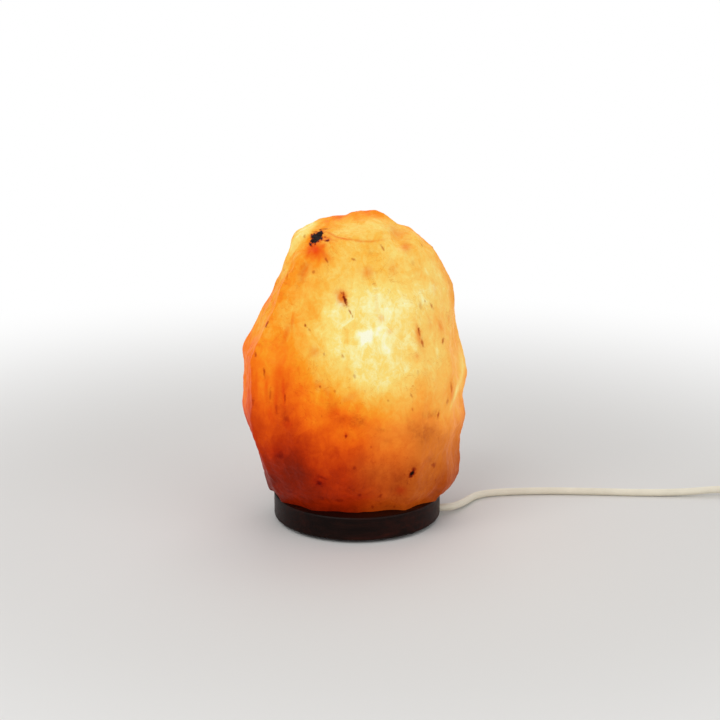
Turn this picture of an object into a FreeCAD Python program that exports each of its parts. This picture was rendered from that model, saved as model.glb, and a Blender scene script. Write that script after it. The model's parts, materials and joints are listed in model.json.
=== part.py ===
import FreeCAD, Part
import math
import os

# Salt crystal lamp: a hollow salt rock screwed to a round wooden base, with a clip-in bulb
# holder and its cord. Millimetres, +Z up. The origin is on the table under the base's middle,
# -Y faces the viewer and the cord leaves the base along +X.

Vector = FreeCAD.Vector
UP = Vector(0, 0, 1)
PAST = 1.0              # how far a cutting shape reaches past the faces that it opens

# ---- rock ----
CRYSTAL_HEIGHT = 188.6
CRYSTAL_WIDTH = 149.6
CRYSTAL_DEPTH = 123.0
BULB_BORE_RADIUS = 25.0
BULB_BORE_DEPTH = 125.0
SIDES = 12
FULLNESS = 0.2          # how far the sections swell from an ellipse towards a rectangle
LEAN = 0.12             # sideways shear of the sections, so that the left flank comes forward
GROUND_FOOT = 0.2       # share of the height over which the ground foot turns into raw rock
RIDGE_BACK = 14.0       # the ridge lies this far behind the middle
FRONT_SLOPE_ANGLE = 22.0
BACK_SLOPE_ANGLE = 34.0

# ---- base and feet ----
BASE_RADIUS = 56.0
BASE_THICKNESS = 16.0
BASE_EDGE_RADIUS = 1.5
FOOT_RADIUS = 5.0
FOOT_HEIGHT = 2.0
FOOT_CIRCLE = 47.0
FOOT_ANGLES = (45, 135, 225, 315)
RECESS_DEPTH = 8.0
BASE_SCREW_CIRCLE = 40.0
BASE_SCREW_ANGLES = (90, 210, 330)
BASE_SCREW_RADIUS = 1.75
BASE_SCREW_HEAD_RADIUS = 3.7
BASE_SCREW_HEAD_HEIGHT = 2.3
BASE_SCREW_LENGTH = 34.0
SCREW_SINK = 0.4        # heads lie this deep in their countersinks
SCREW_CLEARANCE = 0.05  # radial, wherever a screw passes through or bites

# ---- cord ----
CORD_DIAMETER = 5.0
CORD_EXIT_HEIGHT = 4.8
CORD_SPLIT = 50.0       # distance from the middle where the held cord becomes the free one
GROOVE_CLEARANCE = 0.7
CORE_RADIUS = 1.0
CORE_SPACING = 2.6
COIL_PITCH = 5.45       # centre to centre of neighbouring turns and of the two layers
COIL_RADIUS = 38.0
HALF_TURNS_IN = 7
HALF_TURNS_OUT = 6
COIL_CENTRE = (358.0, -39.0)
COIL_EXIT_RUN = 16.0    # straight, from the coil towards the plug

# ---- clip-in holder ----
PLATE_RADIUS = 30.0
PLATE_THICKNESS = 1.0
PLATE_SIDE_GAP = 0.6
PLATE_SEAT_GAP = 0.1
HOUSING_RADIUS = 18.0
HOUSING_WALL = 2.0
HOUSING_FLOOR = 1.2
HOUSING_LIFT = 0.9      # clear of the table
HOUSING_RIM = 0.5       # the bosses stay this far inside the dish
BOSS_WALL = 1.5
ENTRY_CLEARANCE = 0.1
CLAMP_THICKNESS = 1.4
CLAMP_LENGTH = 19.0
CLAMP_WIDTH = 6.0
CLAMP_PLACE = 13.0      # its distance from the middle, along the cord
SMALL_SCREW_RADIUS = 1.25
SMALL_HEAD_RADIUS = 2.3
SMALL_HEAD_HEIGHT = 1.3
SMALL_HEAD_RECESS = 0.3  # the heads lie this deep in the housing
HOUSING_SCREW_PLACE = 13.0
NIPPLE_RADIUS = 5.0
NIPPLE_BORE = 3.7
NIPPLE_LENGTH = 13.6
NUT_ACROSS_FLATS = 14.0
NUT_THICKNESS = 2.2
NIPPLE_PROUD = 0.3       # below the lower nut
CAP_NUT_GAP = 0.6
HOLDER_RADIUS = 13.5
HOLDER_WALL = 1.8
HOLDER_CAP_HEIGHT = 20.0
CAP_NECK_WALL = 3.5
CAP_NECK_HEIGHT = 5.0
CAP_FLOOR = 2.5
CAP_FLARE_HEIGHT = 6.0
HOLDER_SHELL_HEIGHT = 34.0
HOLDER_LIP = 1.0
GRIP_RIBS = 12
GRIP_NICK_RADIUS = 0.7
GRIP_START = 4.0        # above the shell's lower end
GRIP_END = 6.0          # below its top
CORE_BODY_GAP = 0.2
SOCKET_DEPTH = 19.0
CUP_FLOOR = 7.0
CONTACT_RISE = 1.6
STRIP_WIDTH = 3.0
TERMINAL_PLACE = 5.2
TERMINAL_HEIGHT = 7.0
TERMINAL_LENGTH = 5.2
TERMINAL_WIDTH = 4.8
TERMINAL_PIN_RADIUS = 1.2
TERMINAL_CORE_DEPTH = 5.5
TERMINAL_SCREW_RADIUS = 2.0
TERMINAL_SCREW_DROP = 3.5
TERMINAL_SCREW_REACH = 1.5
SLEEVE_RADIUS = 7.0     # inside of the threaded contact sleeve
SLEEVE_WALL = 0.4
SLEEVE_LIFT = 0.6       # above the cup's floor, over its foot
CLIP_ANGLES = (60, 180, 300)
CLIP_WIDTH = 10.0
CLIP_THICKNESS = 0.6
CLIP_HEIGHT = 56.0
CLIP_BORE_GAP = 0.2
CLIP_BEND_SHARE = 0.14   # of the shorter side, taken by each bend
CLIP_BOW_HEIGHT = 0.55   # share of the height where the clip bows out furthest
CLIP_START_IN = 1.2      # the lower end's distance inside that
CLIP_TIP_IN = 4.0
CLIP_FOOT_INSIDE = 2.5   # past the rivet's head, towards the middle
RIVET_RADIUS = 1.2
RIVET_HEAD = 1.7
RIVET_HEAD_HEIGHT = 0.9
RIVET_SPACE = 0.3       # between the housing and the rivets' lower heads

# ---- bulb ----
BULB_LENGTH = 62.0
BULB_GLASS_RADIUS = 12.5
BULB_GLASS_WALL = 0.7
BULB_CAP_RADIUS = 6.8
BULB_CAP_WALL = 0.3
BULB_CAP_LENGTH = 17.2
BULB_TIP_LENGTH = 3.0    # the insulator and contact below the cap
BULB_CONTACT_RADIUS = 2.4
BULB_CONTACT_HEIGHT = 1.2
BULB_SEAL_HEIGHT = 8.0   # the glass starts this far up in the cap
BULB_SHOULDER_LIFT = 1.0
BULB_FLARE_HEIGHT = 14.0
STEM_FOOT_RADIUS = 5.0
STEM_FLARE = 6.0
STEM_RADIUS = 1.6
STEM_RISE = 9.0          # above the cap
LEAD_WIRE_RADIUS = 0.25
LEAD_WIRE_SPACING = 1.4
LEAD_WIRE_RISE = 8.0
FILAMENT_RADIUS = 0.15
FILAMENT_REACH = 5.0
FILAMENT_BOW = 2.2

# ---- cord switch ----
SWITCH_START = 278.0    # where the free lead meets the shells
SWITCH_Y = 36.0
SWITCH_LENGTH = 62.0
SWITCH_WIDTH = 26.0
SWITCH_HEIGHT = 19.0
SWITCH_SPLIT = 9.5      # height of the joint between the shells
SWITCH_WALL = 2.0
SWITCH_CORD_HEIGHT = 5.5
SWITCH_CORNER = 8.0
SWITCH_TOP_EDGE = 2.0
SWITCH_SCREW_INSET = 9.0
SWITCH_SCREW_LENGTH = 12.0
SWITCH_SCREW_RECESS = 0.5
SWITCH_COLUMN_RADIUS = 3.0
SWITCH_CONTACT_PLACE = 9.0
SWITCH_CONTACT_SIZE = 6.0
SWITCH_CONTACT_TOP = 6.0
SWITCH_STRIP_THICKNESS = 0.4
SWITCH_STRIP_WIDTH = 4.0
SWITCH_STRIP_LENGTH = 23.0
SWITCH_RELIEF_LENGTH = 20.0
SWITCH_RELIEF_THICK = 4.9
SWITCH_RELIEF_THIN = 3.6
ROCKER_LENGTH = 21.0
ROCKER_WIDTH = 13.0
ROCKER_GAP = 0.6
ROCKER_THROW = 16.0     # whole swing, on to off
ROCKER_PIN_RADIUS = 1.5
ROCKER_PIN_END = 1.6     # how far a pin reaches into its cheek
ROCKER_END_GAP = 1.5
ROCKER_HORN = 1.6        # the ends' rise above the shells at mid swing
ROCKER_SKIRT = 1.0
ROCKER_KEEL = 2.8
CHEEK_THICKNESS = 2.4
CHEEK_LENGTH = 10.0
PIN_HOLE_CLEARANCE = 0.1
PIN_END_CLEARANCE = 0.3
ROCKER_PIVOT_HEIGHT = 13.5

# ---- plug ----
PLUG_BACK = (340.5, -107.0)
PLUG_LENGTH = 28.0
PLUG_WIDTH = 35.3
PLUG_THICKNESS = 13.7
PLUG_TAIL_WIDTH = 15.0
PLUG_SHOULDER = 13.0
PIN_RADIUS = 2.0
PIN_LENGTH = 19.0
PIN_SPACING = 18.0
PIN_SLEEVE_LENGTH = 10.0
PIN_SLEEVE_WALL = 0.2
PLUG_EDGE_RADIUS = 2.2
PLUG_RELIEF_LENGTH = 20.0
PLUG_RELIEF_THICK = 5.2
PLUG_RELIEF_THIN = 3.5
RELIEF_CLEARANCE = 0.3
RELIEF_RING_PITCH = 3.0
RELIEF_RING_WIDTH = 1.0
RELIEF_RING_DEPTH = 0.5

# ---- places worked out from the sizes ----
CORD_RADIUS = CORD_DIAMETER / 2
BASE_BOTTOM = FOOT_HEIGHT
SEAT = BASE_BOTTOM + BASE_THICKNESS
BORE_TOP = SEAT + BULB_BORE_DEPTH
RECESS_TOP = BASE_BOTTOM + RECESS_DEPTH
PLATE_TOP = RECESS_TOP - PLATE_SEAT_GAP
PLATE_BOTTOM = PLATE_TOP - PLATE_THICKNESS
HOUSING_INSIDE = HOUSING_LIFT + HOUSING_FLOOR
NIPPLE_BOTTOM = PLATE_BOTTOM - NUT_THICKNESS - NIPPLE_PROUD
NIPPLE_TOP = NIPPLE_BOTTOM + NIPPLE_LENGTH
CAP_BOTTOM = PLATE_TOP + NUT_THICKNESS + CAP_NUT_GAP
CAP_TOP = CAP_BOTTOM + HOLDER_CAP_HEIGHT
HOLDER_TOP = CAP_TOP + HOLDER_SHELL_HEIGHT
SOCKET_FLOOR = HOLDER_TOP - HOLDER_LIP - SOCKET_DEPTH
CORE_BODY_BOTTOM = SOCKET_FLOOR - CUP_FLOOR
CORE_BODY_RADIUS = HOLDER_RADIUS - HOLDER_WALL - CORE_BODY_GAP
BULB_BOTTOM = SOCKET_FLOOR + CONTACT_RISE
BULB_TOP = BULB_BOTTOM + BULB_LENGTH
BULB_CAP_BOTTOM = BULB_BOTTOM + BULB_TIP_LENGTH
BULB_CAP_TOP = BULB_CAP_BOTTOM + BULB_CAP_LENGTH
SEAL_BOTTOM = BULB_CAP_BOTTOM + BULB_SEAL_HEIGHT
SWITCH_END = SWITCH_START + SWITCH_LENGTH
SWITCH_MIDDLE = (SWITCH_START + SWITCH_END) / 2

# Rock sections from the seat up: share of the height, then how far the rock reaches left and
# right as shares of half its width, and to the front and back as shares of half its depth.
SECTIONS = (
    (0.000, 0.738, 0.755, 0.730, 0.800),
    (0.020, 0.800, 0.858, 0.805, 0.860),
    (0.060, 0.842, 0.918, 0.898, 0.910),
    (0.116, 0.874, 0.925, 0.966, 0.955),
    (0.190, 0.920, 0.918, 1.008, 0.988),
    (0.265, 0.985, 0.975, 1.008, 0.996),
    (0.335, 1.014, 0.943, 0.996, 0.990),
    (0.420, 1.008, 0.985, 0.974, 0.976),
    (0.528, 1.014, 0.930, 0.906, 0.924),
    (0.624, 0.890, 0.872, 0.813, 0.862),
    (0.741, 0.755, 0.835, 0.650, 0.748),
    (0.847, 0.630, 0.700, 0.455, 0.585),
    (0.921, 0.580, 0.600, 0.260, 0.420),
    (1.030, 0.500, 0.450, 0.140, 0.300),
)
# How far each of the twelve edges stands out, from +X round by way of +Y.
EDGE_LOBES = (1.00, 0.97, 1.02, 1.00, 0.95, 1.01, 1.00, 1.02, 0.96, 1.00, 1.02, 0.96)
# The ridge line seen from the front: share of half the width, share of the height.
RIDGE = (
    (-1.20, 0.892), (-0.585, 0.892), (-0.535, 0.930), (-0.450, 0.945), (-0.36, 0.960),
    (-0.22, 0.975), (-0.10, 0.979), (0.06, 0.993), (0.132, 1.000), (0.20, 0.989),
    (0.275, 0.966), (0.345, 0.942), (0.42, 0.941), (0.485, 0.934), (0.56, 0.912),
    (0.63, 0.892), (1.20, 0.892),
)

# The free cord's routes, chosen by hand: (x, y, height of the cord's middle).
LEAD_ROUTE = (
    (CORD_SPLIT, 0.0, CORD_EXIT_HEIGHT), (59.0, 0.0, CORD_EXIT_HEIGHT), (66.9, 4.4, 4.3),
    (74.9, 17.1, 3.3), (80.8, 28.7, 2.6), (89.7, 35.2, 2.5), (105.5, 38.6, 2.5),
    (134.0, 40.4, 2.5), (167.0, 38.8, 2.5), (200.0, 36.2, 2.5), (230.0, 35.6, 3.2),
    (254.0, SWITCH_Y, SWITCH_CORD_HEIGHT), (SWITCH_START, SWITCH_Y, SWITCH_CORD_HEIGHT),
)
TAIL_ROUTE = (
    (SWITCH_END, SWITCH_Y, SWITCH_CORD_HEIGHT), (364.0, SWITCH_Y, SWITCH_CORD_HEIGHT),
    (385.0, 33.3, 4.2), (398.5, 23.2, 2.9), (404.0, 8.5, 2.5), (401.5, -8.0, 2.5),
    (COIL_CENTRE[0] + COIL_RADIUS, -21.0, 2.5),
    (COIL_CENTRE[0] + COIL_RADIUS, COIL_CENTRE[1] + CORD_DIAMETER, 2.5),
)
PLUG_ROUTE = (
    (392.0, -76.0, 6.6), (393.5, -92.5, 5.4), (384.0, -105.3, 5.6),
    (362.0, PLUG_BACK[1], PLUG_THICKNESS / 2), (*PLUG_BACK, PLUG_THICKNESS / 2),
)

# ---- shapes used again and again ----


def cylinder(radius, bottom, top, x=0.0, y=0.0):
    return Part.makeCylinder(radius, top - bottom, Vector(x, y, bottom))


def ring(outer, inner, bottom, top, x=0.0, y=0.0):
    return cylinder(outer, bottom, top, x, y).cut(cylinder(inner, bottom - PAST, top + PAST, x, y))


def block(x0, x1, y0, y1, z0, z1):
    return Part.makeBox(x1 - x0, y1 - y0, z1 - z0, Vector(x0, y0, z0))


def turned(outline):
    """A solid turned about the Z axis from (radius, height) corners."""
    corners = [Vector(radius, 0, height) for radius, height in outline]
    face = Part.Face(Part.makePolygon(corners + corners[:1]))
    return face.revolve(Vector(), UP, 360)


def moved(shape, x=0.0, y=0.0, z=0.0, angle=0.0):
    """A copy moved by (x, y, z) and then swung about the Z axis."""
    copy = shape.copy()
    copy.translate(Vector(x, y, z))
    copy.rotate(Vector(), UP, angle)
    return copy


def hexagon(across_flats, bottom, top, bore):
    radius = across_flats / 2 / math.cos(math.radians(30))
    corners = [Vector(radius * math.cos(math.radians(60 * k)),
                      radius * math.sin(math.radians(60 * k)), bottom) for k in range(7)]
    prism = Part.Face(Part.makePolygon(corners)).extrude(UP * (top - bottom))
    return prism.cut(cylinder(bore, bottom - PAST, top + PAST))


def rounded_block(x0, x1, y0, y1, z0, z1, corner):
    """A block whose upright edges are rounded."""
    body = block(x0, x1, y0, y1, z0, z1)
    upright = [e for e in body.Edges if abs(e.tangentAt(e.FirstParameter).z) > 0.9]
    return body.makeFillet(corner, upright)


def screw(shank_radius, head_radius, head_height, length, flat_head=False):
    """A screw pointing up from z = 0, the underside of its slotted head."""
    if flat_head:
        head = Part.makeCone(head_radius, shank_radius, head_height)
    else:
        head = Part.makeCylinder(head_radius, head_height)
    tip = shank_radius
    shank = cylinder(shank_radius, head_height, length - tip)
    point = Part.makeCone(shank_radius, 0.3, tip, Vector(0, 0, length - tip))
    slot = block(-head_radius, head_radius, -0.4, 0.4, -0.1, head_height * 0.45)
    return head.fuse(shank).fuse(point).removeSplitter().cut(slot)


def corner_arc(start, corner, end):
    """The arc that leaves start towards corner and arrives at end, both as far from it."""
    into = (corner - start).normalize()
    out = (end - corner).normalize()
    reach = corner.distanceToPoint(start)
    half = into.getAngle(out) / 2
    radius = reach / math.tan(half)
    inward = (out - into).normalize()
    middle = corner + inward * (radius / math.cos(half) - radius)
    return Part.Arc(start, middle, end), radius


def rounded_path(points, share=0.45):
    """Straight runs joined by tangent arcs, as one wire, with its length and its radii."""
    points = [Vector(*p) for p in points]
    edges, radii, here = [], [], points[0]
    for before, corner, after in zip(points, points[1:], points[2:]):
        reach = share * min(corner.distanceToPoint(before), corner.distanceToPoint(after))
        start = corner + (before - corner).normalize() * reach
        end = corner + (after - corner).normalize() * reach
        arc, radius = corner_arc(start, corner, end)
        edges += [Part.LineSegment(here, start).toShape(), arc.toShape()]
        radii.append(radius)
        here = end
    edges.append(Part.LineSegment(here, points[-1]).toShape())
    return Part.Wire(edges), radii


def piped(wire, radius):
    """A round tube along a wire."""
    first = wire.Edges[0]
    start = first.valueAt(first.FirstParameter)
    direction = first.tangentAt(first.FirstParameter)
    profile = Part.Wire(Part.Circle(start, direction, radius).toShape())
    return wire.makePipeShell([profile], True, False)


def cord_run(name, route):
    """A free stretch of cord, with its bends and volume printed for comparison."""
    wire, radii = rounded_path(route)
    solid = piped(wire, CORD_RADIUS)
    expected = math.pi * CORD_RADIUS ** 2 * wire.Length
    print(f"{name}: length {wire.Length:.1f}, radii {[round(r, 1) for r in radii]}, "
          f"volume {solid.Volume:.0f} of {expected:.0f}")
    return solid


def export(name, *solids):
    shape = solids[0] if len(solids) == 1 else Part.makeCompound(list(solids))
    shape.exportStep(f"parts/{name}.step")


# ---- rock, base and feet ----


def section_wire(share, left, right, front, back):
    """One closed level section of the rock."""
    raw = min(1.0, share / GROUND_FOOT)
    power = 1.0 - FULLNESS * raw
    corners = []
    for side in range(SIDES):
        angle = math.radians(360 / SIDES * side)
        across = abs(math.cos(angle)) ** power
        along = abs(math.sin(angle)) ** power
        lobe = 1 + (EDGE_LOBES[side] - 1) * raw
        x = across * (right if math.cos(angle) > 0 else -left) * CRYSTAL_WIDTH / 2 * lobe
        y = along * (back if math.sin(angle) > 0 else -front) * CRYSTAL_DEPTH / 2 * lobe
        corners.append(Vector(x, y + LEAN * raw * x, SEAT + share * CRYSTAL_HEIGHT))
    return Part.makePolygon(corners + corners[:1])


def ridge_cutter(slope, direction):
    """Everything above the ridge on one side of it, sloping down away from it."""
    top = SEAT + 1.4 * CRYSTAL_HEIGHT
    line = [Vector(x * CRYSTAL_WIDTH / 2, RIDGE_BACK, SEAT + z * CRYSTAL_HEIGHT)
            for x, z in RIDGE]
    over = [Vector(line[-1].x, RIDGE_BACK, top), Vector(line[0].x, RIDGE_BACK, top)]
    face = Part.Face(Part.makePolygon(line + over + line[:1]))
    drop = math.tan(math.radians(slope))
    return face.extrude(Vector(0, direction, -drop) * CRYSTAL_DEPTH)


def base_screw_spots():
    return [(BASE_SCREW_CIRCLE * math.cos(math.radians(a)),
             BASE_SCREW_CIRCLE * math.sin(math.radians(a))) for a in BASE_SCREW_ANGLES]


def make_crystal():
    rock = Part.makeLoft([section_wire(*section) for section in SECTIONS], True, True)
    rock = rock.cut(ridge_cutter(FRONT_SLOPE_ANGLE, -1)).cut(ridge_cutter(BACK_SLOPE_ANGLE, 1))
    rock = rock.cut(cylinder(BULB_BORE_RADIUS, SEAT - PAST, BORE_TOP))
    screw_top = BASE_BOTTOM + SCREW_SINK + BASE_SCREW_LENGTH
    for x, y in base_screw_spots():
        rock = rock.cut(cylinder(BASE_SCREW_RADIUS + SCREW_CLEARANCE, SEAT - PAST,
                                 screw_top + 0.5, x, y))
    return rock


def groove():
    """The slot for the cord, open at the underside, from the recess out through the rim."""
    half = CORD_RADIUS + GROOVE_CLEARANCE
    end = BASE_RADIUS + PAST
    slot = block(0, end, -half, half, BASE_BOTTOM - PAST, CORD_EXIT_HEIGHT)
    roof = Part.makeCylinder(half, end, Vector(0, 0, CORD_EXIT_HEIGHT), Vector(1, 0, 0))
    return slot.fuse(roof)


def make_base():
    disc = cylinder(BASE_RADIUS, BASE_BOTTOM, SEAT)
    rims = [e for e in disc.Edges if isinstance(e.Curve, Part.Circle)]
    wood = disc.makeFillet(BASE_EDGE_RADIUS, rims)
    wood = wood.cut(cylinder(BULB_BORE_RADIUS, BASE_BOTTOM - PAST, SEAT + PAST))
    wood = wood.cut(cylinder(PLATE_RADIUS + PLATE_SIDE_GAP, BASE_BOTTOM - PAST, RECESS_TOP))
    wood = wood.cut(groove())
    wide = BASE_SCREW_HEAD_RADIUS + SCREW_CLEARANCE
    narrow = BASE_SCREW_RADIUS + SCREW_CLEARANCE
    seat = BASE_BOTTOM + SCREW_SINK
    for x, y in base_screw_spots():
        wood = wood.cut(cylinder(narrow, BASE_BOTTOM - PAST, SEAT + PAST, x, y))
        wood = wood.cut(cylinder(wide, BASE_BOTTOM - PAST, seat, x, y))
        wood = wood.cut(Part.makeCone(wide, narrow, BASE_SCREW_HEAD_HEIGHT, Vector(x, y, seat)))
    return wood


def lamp_body():
    export("salt_crystal", make_crystal())
    export("wood_base", make_base())
    wood_screw = screw(BASE_SCREW_RADIUS, BASE_SCREW_HEAD_RADIUS, BASE_SCREW_HEAD_HEIGHT,
                       BASE_SCREW_LENGTH, flat_head=True)
    export("base_screws", *[moved(wood_screw, x, y, BASE_BOTTOM + SCREW_SINK)
                            for x, y in base_screw_spots()])
    pad = cylinder(FOOT_RADIUS, 0, FOOT_HEIGHT, FOOT_CIRCLE)
    export("rubber_feet", *[moved(pad, angle=a) for a in FOOT_ANGLES])


# ---- clip-in holder ----


def make_plate():
    plate = cylinder(PLATE_RADIUS, PLATE_BOTTOM, PLATE_TOP)
    plate = plate.cut(cylinder(NIPPLE_RADIUS + SCREW_CLEARANCE, PLATE_BOTTOM - PAST,
                               PLATE_TOP + PAST))
    for angle in CLIP_ANGLES:
        hole = cylinder(RIVET_RADIUS + SCREW_CLEARANCE, PLATE_BOTTOM - PAST, PLATE_TOP + PAST,
                        rivet_place())
        plate = plate.cut(moved(hole, angle=angle))
    for side in (-1, 1):
        plate = plate.cut(cylinder(SMALL_SCREW_RADIUS + SCREW_CLEARANCE, PLATE_BOTTOM - PAST,
                                   PLATE_TOP + PAST, 0, side * HOUSING_SCREW_PLACE))
    return plate


def rivet_place():
    return HOUSING_RADIUS + RIVET_SPACE + RIVET_HEAD


def make_housing():
    """The shallow dish under the plate, where the cord is gripped and its cores turn up."""
    dish = cylinder(HOUSING_RADIUS, HOUSING_LIFT, PLATE_BOTTOM)
    dish = dish.cut(cylinder(HOUSING_RADIUS - HOUSING_WALL, HOUSING_INSIDE, PLATE_BOTTOM + PAST))
    entry = CORD_RADIUS + ENTRY_CLEARANCE
    dish = dish.cut(block(0, HOUSING_RADIUS + 2, -entry, entry, CORD_EXIT_HEIGHT,
                          PLATE_BOTTOM + PAST))
    dish = dish.cut(Part.makeCylinder(entry, HOUSING_RADIUS + 2,
                                      Vector(0, 0, CORD_EXIT_HEIGHT), Vector(1, 0, 0)))
    boss = SMALL_SCREW_RADIUS + BOSS_WALL
    hole = SMALL_SCREW_RADIUS + SCREW_CLEARANCE
    for side in (-1, 1):
        tall = cylinder(boss, HOUSING_INSIDE, PLATE_BOTTOM, 0, side * HOUSING_SCREW_PLACE)
        dish = dish.fuse(tall.common(cylinder(HOUSING_RADIUS - HOUSING_RIM, 0, PLATE_BOTTOM)))
        dish = dish.cut(cylinder(hole, HOUSING_LIFT - PAST, PLATE_BOTTOM + PAST, 0,
                                 side * HOUSING_SCREW_PLACE))
        dish = dish.cut(cylinder(SMALL_HEAD_RADIUS + SCREW_CLEARANCE, HOUSING_LIFT - PAST,
                                 HOUSING_LIFT + SMALL_HEAD_HEIGHT + SMALL_HEAD_RECESS, 0,
                                 side * HOUSING_SCREW_PLACE))
        short = cylinder(boss, HOUSING_INSIDE, clamp_bottom(), CLAMP_PLACE, side * clamp_reach())
        dish = dish.fuse(short.common(cylinder(HOUSING_RADIUS - HOUSING_RIM, 0, PLATE_BOTTOM)))
        dish = dish.cut(cylinder(hole, HOUSING_INSIDE + 0.5, PLATE_BOTTOM, CLAMP_PLACE,
                                 side * clamp_reach()))
    return dish


def clamp_bottom():
    return CORD_EXIT_HEIGHT + CORD_RADIUS


def clamp_reach():
    return CLAMP_LENGTH / 2 - SMALL_SCREW_RADIUS - 1.2


def make_clamp():
    bar = rounded_block(CLAMP_PLACE - CLAMP_WIDTH / 2, CLAMP_PLACE + CLAMP_WIDTH / 2,
                        -CLAMP_LENGTH / 2, CLAMP_LENGTH / 2, clamp_bottom(),
                        clamp_bottom() + CLAMP_THICKNESS, 2.0)
    bar = bar.common(cylinder(HOUSING_RADIUS - HOUSING_WALL - 0.2, 0, PLATE_BOTTOM))
    for side in (-1, 1):
        bar = bar.cut(cylinder(SMALL_SCREW_RADIUS + SCREW_CLEARANCE, 0, PLATE_TOP, CLAMP_PLACE,
                               side * clamp_reach()))
    return bar


def clamp_screws():
    """Two set screws, flush with the bar so that they clear the plate."""
    bottom, top = HOUSING_INSIDE + 0.8, clamp_bottom() + CLAMP_THICKNESS
    slot = block(-SMALL_SCREW_RADIUS, SMALL_SCREW_RADIUS, -0.25, 0.25, top - 0.6, top + PAST)
    pin = cylinder(SMALL_SCREW_RADIUS, bottom, top).cut(slot)
    return [moved(pin, CLAMP_PLACE, side * clamp_reach()) for side in (-1, 1)]


def clip_reach():
    """How far out the middle of a clip may bow while its edges still clear the bore."""
    inside = BULB_BORE_RADIUS - CLIP_BORE_GAP
    return math.sqrt(inside ** 2 - (CLIP_WIDTH / 2) ** 2) - CLIP_THICKNESS / 2


def make_clip():
    floor = PLATE_TOP + CLIP_THICKNESS / 2
    reach = clip_reach()
    inner = rivet_place() - RIVET_HEAD - CLIP_FOOT_INSIDE
    path, _ = rounded_path(((inner, 0, floor), (reach - CLIP_START_IN, 0, floor),
                            (reach, 0, PLATE_TOP + CLIP_BOW_HEIGHT * CLIP_HEIGHT),
                            (reach - CLIP_TIP_IN, 0, PLATE_TOP + CLIP_HEIGHT)), CLIP_BEND_SHARE)
    w, t = CLIP_WIDTH / 2, CLIP_THICKNESS / 2
    profile = Part.makePolygon([Vector(inner, a * w, floor + b * t)
                                for a, b in ((-1, -1), (1, -1), (1, 1), (-1, 1), (-1, -1))])
    leaf = path.makePipeShell([profile], True, False)
    return leaf.cut(cylinder(RIVET_RADIUS + SCREW_CLEARANCE, PLATE_TOP - PAST, PLATE_TOP + 2,
                             rivet_place()))


def make_rivet():
    top = PLATE_TOP + CLIP_THICKNESS
    stem = cylinder(RIVET_RADIUS, PLATE_BOTTOM, top, rivet_place())
    lower = cylinder(RIVET_HEAD, PLATE_BOTTOM - RIVET_HEAD_HEIGHT, PLATE_BOTTOM, rivet_place())
    upper = cylinder(RIVET_HEAD, top, top + RIVET_HEAD_HEIGHT, rivet_place())
    return stem.fuse(lower).fuse(upper).removeSplitter()


def holder_cap():
    """The lower half of the bulb holder, screwed on the nipple."""
    neck = NIPPLE_RADIUS + CAP_NECK_WALL
    flare = CAP_BOTTOM + CAP_NECK_HEIGHT
    inside = HOLDER_RADIUS - HOLDER_WALL
    bore = NIPPLE_RADIUS + SCREW_CLEARANCE
    return turned(((bore, CAP_BOTTOM), (neck, CAP_BOTTOM), (neck, flare),
                   (HOLDER_RADIUS, flare + CAP_FLARE_HEIGHT), (HOLDER_RADIUS, CAP_TOP),
                   (inside, CAP_TOP), (inside, flare + CAP_FLARE_HEIGHT + 1),
                   (neck - 1, flare + CAP_FLOOR), (bore, flare + CAP_FLOOR)))


def holder_shell():
    """The upper half, ribbed for grip, with a lip over the insulating body."""
    inside = HOLDER_RADIUS - HOLDER_WALL
    lip = SLEEVE_RADIUS + SLEEVE_WALL + HOLDER_LIP
    under_lip = HOLDER_TOP - HOLDER_LIP
    shell = turned(((inside, CAP_TOP), (HOLDER_RADIUS, CAP_TOP), (HOLDER_RADIUS, under_lip),
                    (HOLDER_RADIUS - HOLDER_LIP, HOLDER_TOP), (lip, HOLDER_TOP),
                    (lip, under_lip), (inside, under_lip)))
    nick = cylinder(GRIP_NICK_RADIUS, CAP_TOP + GRIP_START, HOLDER_TOP - GRIP_END,
                    HOLDER_RADIUS + 0.2)
    for count in range(GRIP_RIBS):
        shell = shell.cut(moved(nick, angle=360 / GRIP_RIBS * count))
    return shell


def insulating_body():
    """The cup that carries the contacts and the threaded sleeve."""
    socket = SLEEVE_RADIUS + SLEEVE_WALL
    cup = turned(((0, CORE_BODY_BOTTOM), (CORE_BODY_RADIUS, CORE_BODY_BOTTOM),
                  (CORE_BODY_RADIUS, HOLDER_TOP - HOLDER_LIP),
                  (socket, HOLDER_TOP - HOLDER_LIP), (socket, SOCKET_FLOOR), (0, SOCKET_FLOOR)))
    for side in (-1, 1):
        cup = cup.cut(cylinder(TERMINAL_PIN_RADIUS + SCREW_CLEARANCE, CORE_BODY_BOTTOM - PAST,
                               SOCKET_FLOOR + PAST, 0, side * TERMINAL_PLACE))
    return cup


def terminals():
    """Two brass posts under the cup; a pin from each rises through it to its contact."""
    posts = []
    for side in (-1, 1):
        y = side * TERMINAL_PLACE
        post = block(-TERMINAL_LENGTH / 2, TERMINAL_LENGTH / 2, y - TERMINAL_WIDTH / 2,
                     y + TERMINAL_WIDTH / 2, CORE_BODY_BOTTOM - TERMINAL_HEIGHT,
                     CORE_BODY_BOTTOM)
        post = post.cut(cylinder(CORE_RADIUS + SCREW_CLEARANCE,
                                 CORE_BODY_BOTTOM - TERMINAL_HEIGHT - PAST, core_top(), 0, y))
        post = post.cut(Part.makeCylinder(SMALL_SCREW_RADIUS + SCREW_CLEARANCE, TERMINAL_LENGTH,
                                          terminal_screw_start(side), Vector(1, 0, 0)))
        posts.append(post.fuse(cylinder(TERMINAL_PIN_RADIUS, CORE_BODY_BOTTOM, SOCKET_FLOOR,
                                        0, y)))
    return [post.removeSplitter() for post in posts]


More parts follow.
